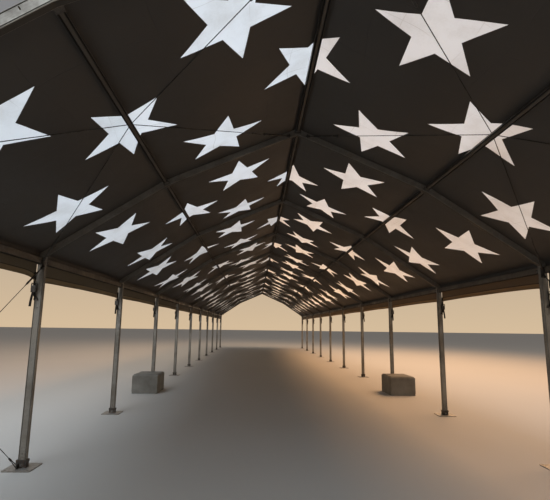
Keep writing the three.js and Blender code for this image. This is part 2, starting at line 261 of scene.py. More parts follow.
class Form:
    """Collects the vertices, faces and surface coordinates of one piece while it is put together."""

    def __init__(self):
        self.vertices = []
        self.faces = []
        self.surface = []
        self.slots = []
        self.smooth = []

    def add(self, shape, slot=0, smooth=False, place=None):
        vertices, faces, surface = shape
        start = len(self.vertices)
        self.vertices += [place @ Vector(point) if place else Vector(point) for point in vertices]
        self.faces += [[start + corner for corner in face] for face in faces]
        self.surface += surface
        self.slots += [slot] * len(faces)
        self.smooth += [smooth] * len(faces)

    def mesh(self, name, materials):
        mesh = bpy.data.meshes.new(name)
        mesh.from_pydata(self.vertices, [], self.faces)
        for material in materials:
            mesh.materials.append(material)
        mesh.polygons.foreach_set("material_index", self.slots)
        mesh.polygons.foreach_set("use_smooth", self.smooth)
        layer = mesh.uv_layers.new(name="surface")
        layer.data.foreach_set("uv", [value for face in self.surface for corner in face for value in corner])
        shell = bmesh.new()
        shell.from_mesh(mesh)
        bmesh.ops.recalc_face_normals(shell, faces=shell.faces)
        shell.to_mesh(mesh)
        shell.free()
        return mesh


def put_in_scene(name, mesh):
    piece = bpy.data.objects.new(name, mesh)
    bpy.context.scene.collection.objects.link(piece)
    return piece


def moved_copy(name, mesh, place):
    copy = mesh.copy()
    copy.name = name
    copy.transform(place)
    return put_in_scene(name, copy)


def declare(piece, slot, *nodes):
    """The piece belongs to the tent and stands for these nodes; its slot is not used."""
    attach(piece, "root")
    if nodes:
        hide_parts(*nodes)


def skin(rings):
    """Closed tube through rings of points, with its length and girth as surface coordinates."""
    count = len(rings[0])
    girth = [0.0]
    for this, following in zip(rings[0], rings[0][1:] + rings[0][:1]):
        girth.append(girth[-1] + (Vector(following) - Vector(this)).length)
    run = [0.0]
    for this, following in zip(rings, rings[1:]):
        run.append(run[-1] + (Vector(following[0]) - Vector(this[0])).length)
    faces = []
    surface = []
    for row in range(len(rings) - 1):
        for side in range(count):
            other = (side + 1) % count
            low = row * count
            high = low + count
            faces.append([low + side, low + other, high + other, high + side])
            surface.append([(run[row], girth[side]), (run[row], girth[side + 1]),
                            (run[row + 1], girth[side + 1]), (run[row + 1], girth[side])])
    last = (len(rings) - 1) * count
    for first_corner in (0, last):
        faces.append(list(range(first_corner, first_corner + count)))
        surface.append([(0.0, 0.0)] * count)
    return [point for ring in rings for point in ring], faces, surface


def turned(profile, sides=12):
    """Solid turned about Z from pairs of height and radius."""
    rings = []
    for height, radius in profile:
        turns = [2 * math.pi * side / sides for side in range(sides)]
        rings.append([Vector((radius * math.cos(turn), radius * math.sin(turn), height)) for turn in turns])
    return skin(rings)


def rod(half_length, radius, sides):
    """Round rod on Z with its middle at the origin."""
    return turned([(-half_length, radius), (half_length, radius)], sides)


def block(low, high):
    x0, y0, z0 = low
    x1, y1, z1 = high
    ring = [(x0, y0), (x1, y0), (x1, y1), (x0, y1)]
    return skin([[Vector((x, y, z)) for x, y in ring] for z in (z0, z1)])


def arc(centre, radius, start, end, steps):
    turns = [math.radians(start + (end - start) * step / steps) for step in range(steps + 1)]
    return [(centre[0] + radius * math.cos(turn), centre[1] + radius * math.sin(turn)) for turn in turns]


def track(centre, face):
    """Keyhole track in the profile's face, from one lip to the other."""
    mouth = TRACK_MOUTH / 2
    width = TRACK_WIDTH / 2
    lip = face - TRACK_LIP
    floor = face - TRACK_DEPTH
    near = [(-mouth, face), (-mouth, lip), (-width, lip), (-width, floor)]
    return [(centre + x, y) for x, y in near] + [(centre - x, y) for x, y in reversed(near)]


def profile_outline():
    """Section of the frame's profile: x is the offset in the frame's plane, y runs along the tent."""
    x = PROFILE_HALF_DEPTH - CORNER_RADIUS
    y = PROFILE_HALF_WIDTH - CORNER_RADIUS
    half = track(-TRACK_OFFSET, PROFILE_HALF_WIDTH) + track(TRACK_OFFSET, PROFILE_HALF_WIDTH)
    half += arc((x, y), CORNER_RADIUS, 90, 0, CORNER_STEPS)
    half += arc((x, -y), CORNER_RADIUS, 0, -90, CORNER_STEPS)
    return half + [(-px, -py) for px, py in half]


def along_the_tent(outline, start, end):
    """Prism of a section in the X-Z plane, from one place along the tent to another."""
    return skin([[Vector((point.x, y, point.y)) for point in outline] for y in (start, end)])


def profile_ring(corner, shift=Vector((0.0, 0.0))):
    ring = []
    for offset, y in profile_outline():
        place = frame_point(corner, offset) + shift
        ring.append(Vector((place.x, y, place.y)))
    return ring


def shader_group(name, inputs, outputs):
    """Shader node group with named inputs, each with its plain value, and named outputs."""
    group = bpy.data.node_groups.new(name, "ShaderNodeTree")
    for label, kind, value in inputs:
        socket = group.interface.new_socket(label, in_out="INPUT", socket_type=kind)
        if value is not None:
            socket.default_value = value
    for label, kind in outputs:
        group.interface.new_socket(label, in_out="OUTPUT", socket_type=kind)
    return group, group.nodes.new("NodeGroupInput").outputs, group.nodes.new("NodeGroupOutput").inputs


def math_node(tree, operation, first, second=0.0):
    return add_node(tree, "ShaderNodeMath", {0: first, 1: second}, operation=operation).outputs[0]


def ramp(tree, value, low, high, to_low=0.0, to_high=1.0):
    inputs = {"Value": value, "From Min": low, "From Max": high, "To Min": to_low, "To Max": to_high}
    return add_node(tree, "ShaderNodeMapRange", inputs).outputs[0]


def by_mask(tree, mask, clean, dirty):
    """A value that goes from the clean one to the dirty one as the mask goes from 0 to 1."""
    return ramp(tree, mask, 0.0, 1.0, clean, dirty)


GRIME_FINE_SCALE = 19.0
GRIME_FINE_SHARE = 0.22
LINES_STRETCH = 0.9
SCUFF_STRETCH = 9.0
SCUFFS_PER_METRE = 160.0


def grime_group():
    """Blotches of dust and dirt: broad patches broken up by a finer noise."""
    group, given, result = shader_group(
        "grime",
        [("Vector", "NodeSocketVector", None), ("Patch Scale", "NodeSocketFloat", 2.0),
         ("Amount", "NodeSocketFloat", 0.5)],
        [("Mask", "NodeSocketFloat"), ("Speckle", "NodeSocketFloat")],
    )
    broad = noise_texture(group, given["Vector"], given["Patch Scale"], 5.0, 0.6)
    fine_scale = math_node(group, "MULTIPLY", given["Patch Scale"], GRIME_FINE_SCALE)
    fine = noise_texture(group, given["Vector"], fine_scale, 3.0)
    threshold = ramp(group, given["Amount"], 0.0, 1.0, 0.75, 0.25)
    lifted = math_node(group, "ADD", broad, math_node(group, "MULTIPLY", fine, GRIME_FINE_SHARE))
    height = math_node(group, "SUBTRACT", lifted, threshold)
    group.links.new(ramp(group, height, 0.0, 0.3), result["Mask"])
    group.links.new(fine, result["Speckle"])
    return group


def drawn_lines_group():
    """Die lines and scratches that run along a drawn metal profile, from its length and girth."""
    group, given, result = shader_group(
        "drawn_lines",
        [("Surface", "NodeSocketVector", None), ("Lines Per Metre", "NodeSocketFloat", 420.0)],
        [("Line", "NodeSocketFloat"), ("Scratch", "NodeSocketFloat")],
    )
    split = add_node(group, "ShaderNodeSeparateXYZ", {0: given["Surface"]})
    noises = []
    for along, across, detail in ((LINES_STRETCH, given["Lines Per Metre"], 2.0),
                                  (SCUFF_STRETCH, SCUFFS_PER_METRE, 6.0)):
        stretched = add_node(group, "ShaderNodeCombineXYZ", {
            0: math_node(group, "MULTIPLY", split.outputs[0], along),
            1: math_node(group, "MULTIPLY", split.outputs[1], across)})
        noises.append(noise_texture(group, stretched.outputs[0], 1.0, detail))
    lines, scuffs = noises
    group.links.new(lines, result["Line"])
    group.links.new(ramp(group, scuffs, 0.6, 0.72), result["Scratch"])
    return group


GRIME = grime_group()
DRAWN_LINES = drawn_lines_group()


def place_group(tree, group, inputs):
    return add_node(tree, "ShaderNodeGroup", inputs, node_tree=group).outputs


def grime_on(tree, vector, patch_scale, amount):
    return place_group(tree, GRIME, {"Vector": vector, "Patch Scale": patch_scale, "Amount": amount})


def bumped(tree, height, strength, distance, **more):
    inputs = {"Height": height, "Strength": strength, "Distance": distance, **more}
    return add_node(tree, "ShaderNodeBump", inputs).outputs[0]


SPLASH_TOP = 0.55
SPLASH_FULL = 0.05


def aluminium(name, clean, dirty, dirt, splashed=False):
    """Dull drawn aluminium: die lines along the profile, scuffs and dust. A post also has dirt splashed up
    from the ground."""
    material, tree = new_material(name)
    coordinates = add_node(tree, "ShaderNodeTexCoord")
    marks = place_group(tree, DRAWN_LINES, {"Surface": coordinates.outputs["UV"]})
    grime = grime_on(tree, coordinates.outputs["Object"], 2.6, dirt)
    mask = grime["Mask"]
    if splashed:
        height = add_node(tree, "ShaderNodeSeparateXYZ", {0: coordinates.outputs["Object"]}).outputs[2]
        splash = math_node(tree, "MULTIPLY", ramp(tree, height, SPLASH_TOP, SPLASH_FULL), grime["Speckle"])
        mask = math_node(tree, "MAXIMUM", mask, ramp(tree, splash, 0.2, 0.6))
    lined = mixed_colour(tree, ramp(tree, marks["Line"], 0.35, 0.65), clean, shaded(clean, 0.82))
    scuffed = mixed_colour(tree, marks["Scratch"], lined, shaded(clean, 1.25))
    shader = add_node(tree, "ShaderNodeBsdfPrincipled", {
        "Base Color": mixed_colour(tree, mask, scuffed, dirty),
        "Roughness": by_mask(tree, mask, 0.42, 0.78),
        "Metallic": by_mask(tree, mask, 0.85, 0.1),
        "Normal": bumped(tree, marks["Line"], 0.12, 0.0004)})
    finish_material(tree, shader.outputs[0])
    return material


POST_METAL = aluminium(
    "post_aluminium", clean=(0.31, 0.295, 0.265, 1.0), dirty=(0.16, 0.135, 0.105, 1.0), dirt=0.45,
    splashed=True)


def bolt_hole_cutter(x, heights):
    form = Form()
    along_y = Matrix.Rotation(math.radians(90), 4, "X")
    pin = rod(2 * PROFILE_HALF_WIDTH, POST_HOLE_DIAMETER / 2, 16)
    for z in heights:
        form.add(pin, smooth=True, place=Matrix.Translation((x, 0.0, z)) @ along_y)
    return form.mesh("bolt_hole_cutter", [])


def plain_mesh(piece):
    """The piece's mesh with its modifiers worked in; the piece itself is removed."""
    depsgraph = bpy.context.evaluated_depsgraph_get()
    mesh = bpy.data.meshes.new_from_object(piece.evaluated_get(depsgraph), depsgraph=depsgraph,
                                           preserve_all_data_layers=True)
    bpy.data.objects.remove(piece)
    return mesh


def drilled(name, mesh, cutter_mesh):
    """The mesh with the cutters' shapes taken out of it."""
    body = put_in_scene(name, mesh)
    cutter = put_in_scene(name + "_cutter", cutter_mesh)
    cut = body.modifiers.new("holes", "BOOLEAN")
    cut.operation = "DIFFERENCE"
    cut.solver = "EXACT"
    cut.object = cutter
    result = plain_mesh(body)
    bpy.data.objects.remove(cutter)
    return result


def post_mesh(side):
    corner = LEFT_EAVE if side < 0 else RIGHT_EAVE
    top = profile_ring(corner)
    foot = [Vector((point.x, point.y, POST_START_Z)) for point in top]
    form = Form()
    form.add(skin([foot, top]))
    return drilled("post", form.mesh("post", [POST_METAL]), bolt_hole_cutter(side * POST_X, POST_HOLES_Z))


for word, side in SIDES.items():
    shape = post_mesh(side)
    for index in range(BAYS + 1):
        post = moved_copy(f"aluminium_post_{word}_{index + 1:02d}", shape, at_frame(index))
        declare(post, "post", f"post_{word}_{index + 1:02d}")


# Steel feet
# Under each post is a steel foot: a dull 300 mm square plate with four anchor holes, a dark welded sleeve
# that the post stands in, a thicker collar round its top, and a cross bolt with a nut through both.
PLATE_HALF = 0.15
PLATE_THICKNESS = 0.01
PLATE_CORNER = 0.02
ANCHOR_HOLE_OFFSET = 0.118
ANCHOR_HOLE_RADIUS = 0.011
SLEEVE_HALF = (0.052, 0.034)
COLLAR_HALF = (0.056, 0.038)
COLLAR_RANGE = (0.062, 0.088)
WELD_RADIUS = 0.005
WELD_RIPPLE_LENGTH = 0.006
CROSS_BOLT = {"z": 0.036, "width": 0.019, "height": 0.011}


def plate(outline, holes, low, high):
    """Flat plate with round holes, from its outline and the holes' outlines."""
    loops = [outline] + holes
    points = [Vector(point) for loop in loops for point in loop]
    edges = []
    start = 0
    for loop in loops:
        edges += [(start + i, start + (i + 1) % len(loop)) for i in range(len(loop))]
        start += len(loop)
    flat, _, triangles, _, _, _ = delaunay_2d_cdt(points, edges, [], 0, 1e-7)
    inside = [face for face in triangles if in_material(flat, face, outline, holes)]
    count = len(flat)
    vertices = [Vector((p.x, p.y, z)) for z in (low, high) for p in flat]
    faces = [list(face) for face in inside] + [[count + corner for corner in face] for face in inside]
    for a, b in edges:
        faces.append([a, b, count + b, count + a])
    return vertices, faces, [[(0.0, 0.0)] * len(face) for face in faces]


def in_loop(point, loop):
    crossings = 0
    for (x0, y0), (x1, y1) in zip(loop, loop[1:] + loop[:1]):
        if (y0 > point.y) != (y1 > point.y) and point.x < x0 + (point.y - y0) * (x1 - x0) / (y1 - y0):
            crossings += 1
    return crossings % 2 == 1


def in_material(flat, face, outline, holes):
    centre = sum((flat[corner] for corner in face), Vector((0.0, 0.0))) / len(face)
    return in_loop(centre, outline) and not any(in_loop(centre, hole) for hole in holes)


def round_hole(centre, radius, sides):
    return arc(centre, radius, 0, 360 * (sides - 1) / sides, sides - 1)


def rounded_box(half_x, half_y, radius, steps=3):
    corners = [(1, 1, 0), (-1, 1, 90), (-1, -1, 180), (1, -1, 270)]
    outline = []
    for sx, sy, start in corners:
        outline += arc((sx * (half_x - radius), sy * (half_y - radius)), radius, start, start + 90, steps)
    return outline


STEEL_DUST = (0.2, 0.185, 0.16, 1.0)


def steel(name, clean, rust, rust_amount):
    """Painted or galvanised steel with dust and small spots of rust."""
    material, tree = new_material(name)
    place = add_node(tree, "ShaderNodeTexCoord").outputs["Object"]
    dust = grime_on(tree, place, 9.0, 0.45)
    spots = grime_on(tree, place, 31.0, rust_amount)
    dusty = mixed_colour(tree, math_node(tree, "MULTIPLY", dust["Mask"], 0.55), clean, STEEL_DUST)
    shader = add_node(tree, "ShaderNodeBsdfPrincipled", {
        "Base Color": mixed_colour(tree, spots["Mask"], dusty, rust),
        "Roughness": by_mask(tree, spots["Mask"], 0.48, 0.85),
        "Metallic": by_mask(tree, spots["Mask"], 0.6, 0.0),
        "Normal": bumped(tree, spots["Speckle"], 0.35, 0.0012)})
    finish_material(tree, shader.outputs[0])
    return material


FOOT_STEEL = steel(
    "foot_steel", clean=(0.036, 0.033, 0.03, 1.0), rust=(0.13, 0.06, 0.03, 1.0), rust_amount=0.3)
BOLT_STEEL = steel(
    "bolt_steel", clean=(0.19, 0.18, 0.165, 1.0), rust=(0.17, 0.09, 0.05, 1.0), rust_amount=0.2)
PLATE_STEEL = steel(
    "plate_steel", clean=(0.3, 0.285, 0.26, 1.0), rust=(0.17, 0.12, 0.08, 1.0), rust_amount=0.3)


def band(half_inner, half_outer, low, high, radius):
    """Rectangular steel band round the post, open in the middle."""
    inner = rounded_box(half_inner[0], half_inner[1], radius)
    outer = rounded_box(half_outer[0], half_outer[1], radius)
    return plate(outer, [inner], low, high)


def weld_bead(half_x, half_y, z):
    """Rippled fillet of weld round the foot of the sleeve."""
    path = rounded_box(half_x, half_y, CORNER_RADIUS, 2)
    rings = []
    rippled = random.Random(5)
    points = []
    for (x0, y0), (x1, y1) in zip(path, path[1:] + path[:1]):
        pieces = max(1, round(math.hypot(x1 - x0, y1 - y0) / WELD_RIPPLE_LENGTH))
        points += [(x0 + (x1 - x0) * k / pieces, y0 + (y1 - y0) * k / pieces) for k in range(pieces)]
    for x, y in points:
        out = Vector((x, y, 0)).normalized()
        size = WELD_RADIUS * rippled.uniform(0.8, 1.2)
        rings.append([Vector((x, y, z)), Vector((x, y, z)) + out * size, Vector((x, y, z + size))])
    rings.append(rings[0])
    vertices, faces, surface = skin(rings)
    return vertices, faces[:-2], surface[:-2]


def hex_bolt(width, height):
    """Hexagon head on a washer, standing on Z = 0 and facing +Z."""
    washer_top = width * 0.14
    washer = turned([(0.0, width * 0.9), (washer_top, width * 0.9)], 16)
    head = turned([(washer_top, width * 0.57), (washer_top + height * 0.85, width * 0.57),
                   (washer_top + height, width * 0.48)], 6)
    return washer, head


def facing(place, direction):
    """Matrix that stands a shape made on Z at a place, facing a direction."""
    return Matrix.Translation(place) @ Vector(direction).to_track_quat("Z", "Y").to_matrix().to_4x4()


def foot_mesh():
    form = Form()
    holes = []
    for sx in (-1, 1):
        for sy in (-1, 1):
            centre = (sx * ANCHOR_HOLE_OFFSET, sy * ANCHOR_HOLE_OFFSET)
            holes.append(round_hole(centre, ANCHOR_HOLE_RADIUS, 16))
    form.add(plate(rounded_box(PLATE_HALF, PLATE_HALF, PLATE_CORNER), holes, 0.0, PLATE_THICKNESS), slot=2)
    bore = (PROFILE_HALF_DEPTH + JOINT_GAP, PROFILE_HALF_WIDTH + JOINT_GAP)
    form.add(band(bore, SLEEVE_HALF, PLATE_THICKNESS, COLLAR_RANGE[0], CORNER_RADIUS))
    form.add(band(bore, COLLAR_HALF, COLLAR_RANGE[0], COLLAR_RANGE[1], CORNER_RADIUS))
    form.add(weld_bead(SLEEVE_HALF[0], SLEEVE_HALF[1], PLATE_THICKNESS))
    for sy in (-1, 1):
        for shape in hex_bolt(CROSS_BOLT["width"], CROSS_BOLT["height"]):
            form.add(shape, slot=1, place=facing((0.0, sy * SLEEVE_HALF[1], CROSS_BOLT["z"]), (0.0, sy, 0.0)))
    return form.mesh("foot", [FOOT_STEEL, BOLT_STEEL, PLATE_STEEL])


foot_shape = foot_mesh()
for word, side in SIDES.items():
    for index in range(BAYS + 1):
        place = Matrix.Translation((side * POST_X, frame_y(index), 0.0))
        foot = moved_copy(f"steel_foot_{word}_{index + 1:02d}", foot_shape, place)
        declare(foot, "steel")


# Roof arches
# Each arch is four lengths of the posts' profile, mitred over steel inserts at the kinks and the ridge.
# Slotted holes go through it near every corner, where the inserts are bolted. Its narrow underside has
# painted shade.
SLOT = {"length": 0.024, "width": 0.008, "from_corner": 0.17, "offset": 0.012}
POINTS_OF_A_TRACK = 8
# The profile's outline has two tracks, two corners, two tracks and two corners. The underside lies between
# the last two corners.
UNDERSIDE_EDGE = 4 * POINTS_OF_A_TRACK + 3 * (CORNER_STEPS + 1) - 1


def arch_slot_cutter():
    """Slots near every corner of the arch, on both sides of it, through the profile's whole width."""
    form = Form()
    half_length = SLOT["length"] / 2
    half_width = SLOT["width"] / 2
    for corner in (LEFT_EAVE, LEFT_KINK, RIDGE, RIGHT_KINK, RIGHT_EAVE):
        for towards in (-1, 1):
            if not LEFT_EAVE <= corner + towards <= RIGHT_EAVE:
                continue
            along = (FRAME_LINE[corner + towards] - FRAME_LINE[corner]).normalized()
            across = Vector((-along.y, along.x)) * (1 if towards > 0 else -1)
            centre = FRAME_LINE[corner] + along * SLOT["from_corner"] + across * SLOT["offset"]
            ring = [centre + along * u * half_width + across * v * half_length
                    for u, v in ((-1, -1), (1, -1), (1, 1), (-1, 1))]
            form.add(along_the_tent(ring, -2 * PROFILE_HALF_WIDTH, 2 * PROFILE_HALF_WIDTH))
    return form.mesh("arch_slots", [])


def arch_mesh():
    rings = []
    for corner in range(LEFT_EAVE, RIGHT_EAVE + 1):
        shift = Vector((0.0, 0.0))
        if corner == LEFT_EAVE:
            shift = (FRAME_LINE[corner + 1] - FRAME_LINE[corner]).normalized() * JOINT_GAP
        if corner == RIGHT_EAVE:
            shift = (FRAME_LINE[corner - 1] - FRAME_LINE[corner]).normalized() * JOINT_GAP
        rings.append(profile_ring(corner, shift))
    form = Form()
    form.add(skin(rings))
    count = len(rings[0])
    for stretch in range(len(rings) - 1):
        form.slots[stretch * count + UNDERSIDE_EDGE] = 1
    return drilled("arch", form.mesh("arch", [ARCH_METAL, ARCH_UNDERSIDE_PAINTED_SHADE]), arch_slot_cutter())


ARCH_METAL = aluminium(
    "arch_aluminium", clean=(0.27, 0.245, 0.21, 1.0), dirty=(0.12, 0.1, 0.078, 1.0), dirt=0.45)
# Painted shade: the arch's narrow underside is coloured dark for the shade under it.
ARCH_UNDERSIDE_PAINTED_SHADE = aluminium(
    "arch_underside_painted_shade", clean=(0.075, 0.066, 0.055, 1.0), dirty=(0.045, 0.038, 0.03, 1.0), dirt=0.6)
arch_shape = arch_mesh()
for index in range(BAYS + 1):
    arch = moved_copy(f"aluminium_arch_{index + 1:02d}", arch_shape, at_frame(index))
    declare(arch, "frame", f"roof_arch_{index + 1:02d}")


# Purlins, ridge beam and eave beams
# One aluminium length of each hangs in every bay between two frames, held in steel shoes. The ridge beam and
# the purlins have a peaked top that carries the cover and a narrow rib below, with a rebate each side of it,
# painted dark as painted shade. The eave beams are plain boxes with painted shade on their underside.
RIDGE_SIZE = {"half": 0.03, "depth": 0.056, "top": 0.0287, "rib_half": 0.011}
PURLIN_SIZE = {"half": 0.025, "depth": 0.038, "top": 0.0167, "rib_half": 0.012}
REBATE_DEPTH = 0.016
REBATE_LIP = 0.003
REBATE_EDGES = (3, 4, 5, 8, 9, 10)
END_GAP = 0.0015
EAVE_BEAM = {"half": 0.025, "low": 2.2, "high": 2.27, "radius": 0.004}
EAVE_UNDERSIDE_EDGES = range(8, 15)


def purlin_axes(corner, size):
    """Apex of the purlin at a corner of the frame line, with its across and outward directions."""
    outwards = corner_offset(corner).normalized()
    return frame_point(corner, size["top"]), Vector((outwards.y, -outwards.x)), outwards


def purlin_outline(corner, size):
    """Section of a purlin in the X-Z plane, from its apex round; REBATE_EDGES are edges in its rebates."""
    apex, across, outwards = purlin_axes(corner, size)
    half_turn = math.acos(min(1.0, stretch_normal(corner).dot(outwards)))
    half = size["half"]
    shoulder = half * math.tan(half_turn)
    rib = size["rib_half"]
    bottom = -size["depth"]
    lip = half - REBATE_LIP
    side = [(half, -shoulder), (half, bottom), (lip, bottom), (lip, bottom + REBATE_DEPTH),
            (rib, bottom + REBATE_DEPTH), (rib, bottom)]
    points = [(0.0, 0.0)] + side + [(-x, y) for x, y in reversed(side)]
    return [apex + across * x + outwards * y for x, y in points]


def run_between_frames(name, outline, painted_shade_edges, metal):
    """Ten lengths of the same section, each between two frames' faces, with painted shade on some edges."""
    form = Form()
    for bay in range(BAYS):
        start = frame_y(bay) + PROFILE_HALF_WIDTH + END_GAP
        end = frame_y(bay + 1) - PROFILE_HALF_WIDTH - END_GAP
        vertices, faces, surface = along_the_tent(outline, start, end)
        surface = [[(u + bay * BAY, v) for u, v in face] for face in surface]
        form.add((vertices, faces, surface))
        first = len(form.slots) - len(faces)
        for edge in painted_shade_edges:
            form.slots[first + edge] = 1
    return put_in_scene(name, form.mesh(name, [metal, REBATE_PAINTED_SHADE]))


PURLIN_METAL = aluminium(
    "purlin_aluminium", clean=(0.11, 0.098, 0.082, 1.0), dirty=(0.06, 0.05, 0.04, 1.0), dirt=0.5)
EAVE_METAL = aluminium(
    "eave_aluminium", clean=(0.185, 0.16, 0.128, 1.0), dirty=(0.085, 0.07, 0.055, 1.0), dirt=0.5)
# Painted shade: the purlins' rebates and the eave beams' undersides are coloured near black for the shade in
# them.
REBATE_PAINTED_SHADE = aluminium(
    "purlin_rebate_painted_shade", clean=(0.026, 0.023, 0.019, 1.0), dirty=(0.016, 0.014, 0.012, 1.0), dirt=0.7)
for corner, size, name, node in (
    (RIDGE, RIDGE_SIZE, "ridge_beam_lengths", "ridge_beam"),
    (LEFT_KINK, PURLIN_SIZE, "mid_purlin_lengths_left", "mid_purlin_left"),
    (RIGHT_KINK, PURLIN_SIZE, "mid_purlin_lengths_right", "mid_purlin_right"),
):
    outline = purlin_outline(corner, size)
    declare(run_between_frames(name, outline, REBATE_EDGES, PURLIN_METAL), "purlin", node)
for word, side in SIDES.items():
    middle_z = (EAVE_BEAM["low"] + EAVE_BEAM["high"]) / 2
    half_z = (EAVE_BEAM["high"] - EAVE_BEAM["low"]) / 2
    ring = rounded_box(EAVE_BEAM["half"], half_z, EAVE_BEAM["radius"])
    outline = [Vector((side * POST_X + x, middle_z + z)) for x, z in ring]
    beam = run_between_frames(f"eave_beam_lengths_{word}", outline, EAVE_UNDERSIDE_EDGES, EAVE_METAL)
    declare(beam, "purlin", f"eave_beam_{word}")


# Shoes of the purlins and beams
# A folded steel shoe is bolted to the frame's face under each end of a purlin or beam. It wraps the bottom
# and both sides, and one bolt goes through from each side.
SHOE = {"length": 0.06, "thickness": 0.004, "side_height": 0.045, "gap": 0.0008, "top": -0.016}
SHOE_FLANGE = {"past_side": 0.012, "below": 0.006, "top": -0.014}
SHOE_BOLT = {"width": 0.013, "height": 0.008, "from_face": 0.035, "above_bottom": 0.02}


def shoe_outline(apex, across, outwards, half, depth):
    """U-shaped section round the bottom of the purlin."""
    inner = half + SHOE["gap"]
    outer = inner + SHOE["thickness"]
    bottom = -depth - SHOE["gap"]
    low = bottom - SHOE["thickness"]
    top = min(bottom + SHOE["side_height"], SHOE["top"])
    points = [(-outer, top), (-outer, low), (outer, low), (outer, top), (inner, top), (inner, bottom),
              (-inner, bottom), (-inner, top)]
    return [apex + across * x + outwards * y for x, y in points]


def shoe(form, bolts, axes, half, depth, face_y, inwards):
    apex, across, outwards = axes
    outline = shoe_outline(apex, across, outwards, half, depth)
    form.add(along_the_tent(outline, face_y, face_y + inwards * SHOE["length"]))
    side = half + SHOE_FLANGE["past_side"]
    low = -depth - SHOE_FLANGE["below"]
    flange = [(-side, low), (side, low), (side, SHOE_FLANGE["top"]), (-side, SHOE_FLANGE["top"])]
    corners = [apex + across * x + outwards * y for x, y in flange]
    form.add(along_the_tent(corners, face_y, face_y + inwards * SHOE["thickness"]))
    for sign in (-1, 1):
        out = half + SHOE["gap"] + SHOE["thickness"]
        middle = apex + across * sign * out + outwards * (SHOE_BOLT["above_bottom"] - depth)
        towards = across * sign
        bolts.append((Vector((middle.x, face_y + inwards * SHOE_BOLT["from_face"], middle.y)),
                      Vector((towards.x, 0.0, towards.y))))


def shape_tree(name, inputs):
    """Geometry node tree with a geometry input and output and named inputs for its sizes."""
    tree = bpy.data.node_groups.new(name, "GeometryNodeTree")
    tree.interface.new_socket("Geometry", in_out="INPUT", socket_type="NodeSocketGeometry")
    for label, kind in inputs:
        tree.interface.new_socket(label, in_out="INPUT", socket_type=kind)
    tree.interface.new_socket("Geometry", in_out="OUTPUT", socket_type="NodeSocketGeometry")
    return tree, tree.nodes.new("NodeGroupInput").outputs, tree.nodes.new("NodeGroupOutput").inputs


def end_tree(tree, geometry, material, result):
    real = add_node(tree, "GeometryNodeRealizeInstances", {"Geometry": geometry})
    painted = add_node(tree, "GeometryNodeSetMaterial", {"Geometry": real.outputs[0], "Material": material})
    tree.links.new(painted.outputs[0], result["Geometry"])


def grown(name, start, tree, values):
    """Plain mesh piece that a tree makes from a start object, which is removed."""
    bpy.context.scene.collection.objects.link(start)
    modifier = start.modifiers.new("shape", "NODES")
    modifier.node_group = tree
    for item in tree.interface.items_tree:
        if item.in_out == "INPUT" and item.name in values:
            modifier[item.identifier] = values[item.name]
    mesh = plain_mesh(start)
    mesh.name = name
    return put_in_scene(name, mesh)


WASHER_REACH = 0.95
WASHER_SHARE = 0.25
HEXAGON_REACH = 0.577


def bolts_tree():
    """A hexagon head on a washer at every point, facing the way that the point's own vector says."""
    tree, given, result = shape_tree("bolts_on_points", [
        ("Head Width", "NodeSocketFloat"), ("Head Height", "NodeSocketFloat"),
        ("Material", "NodeSocketMaterial")])
    washer_height = math_node(tree, "MULTIPLY", given["Head Height"], WASHER_SHARE)
    half_head = math_node(tree, "MULTIPLY", given["Head Height"], 0.5)
    whole = add_node(tree, "GeometryNodeJoinGeometry")
    for sides, reach, height, rise in (
        (12, WASHER_REACH, washer_height, math_node(tree, "MULTIPLY", washer_height, 0.5)),
        (6, HEXAGON_REACH, given["Head Height"], math_node(tree, "ADD", washer_height, half_head)),
    ):
        radius = math_node(tree, "MULTIPLY", given["Head Width"], reach)
        disc = add_node(tree, "GeometryNodeMeshCylinder", {
            "Vertices": sides, "Radius": radius, "Depth": height})
        lift = add_node(tree, "ShaderNodeCombineXYZ", {2: rise})
        raised = add_node(tree, "GeometryNodeTransform", {0: disc.outputs[0], "Translation": lift.outputs[0]})
        tree.links.new(raised.outputs[0], whole.inputs[0])
    way = add_node(tree, "GeometryNodeInputNamedAttribute", {"Name": "facing"}, data_type="FLOAT_VECTOR")
    turn = add_node(tree, "FunctionNodeAlignRotationToVector", {"Vector": way.outputs[0]}, axis="Z")
    spread = add_node(tree, "GeometryNodeInstanceOnPoints", {
        "Points": given["Geometry"], "Instance": whole.outputs[0], "Rotation": turn.outputs[0]})
    end_tree(tree, spread.outputs[0], given["Material"], result)
    return tree


BOLTS = bolts_tree()


def bolts_piece(name, places, head_width, head_height):
    points = bpy.data.meshes.new(name + "_points")
    points.from_pydata([place for place, _ in places], [], [])
    way = points.attributes.new("facing", "FLOAT_VECTOR", "POINT")
    way.data.foreach_set("vector", [value for _, direction in places for value in direction])
    start = bpy.data.objects.new(name + "_points", points)
    values = {"Head Width": head_width, "Head Height": head_height, "Material": BOLT_STEEL}
    return grown(name, start, BOLTS, values)


SHOE_STEEL = steel(
    "shoe_steel", clean=(0.05, 0.048, 0.045, 1.0), rust=(0.09, 0.05, 0.03, 1.0), rust_amount=0.2)
UPRIGHT = (Vector((1.0, 0.0)), Vector((0.0, 1.0)))
shoe_lines = [("ridge_shoes", purlin_axes(RIDGE, RIDGE_SIZE), RIDGE_SIZE["half"], RIDGE_SIZE["depth"])]
for word, kink in (("left", LEFT_KINK), ("right", RIGHT_KINK)):
    axes = purlin_axes(kink, PURLIN_SIZE)
    shoe_lines.append((f"mid_purlin_shoes_{word}", axes, PURLIN_SIZE["half"], PURLIN_SIZE["depth"]))
for word, side in SIDES.items():
    axes = (Vector((side * POST_X, EAVE_BEAM["high"])), *UPRIGHT)
    beam_depth = EAVE_BEAM["high"] - EAVE_BEAM["low"]
    shoe_lines.append((f"eave_beam_shoes_{word}", axes, EAVE_BEAM["half"], beam_depth))
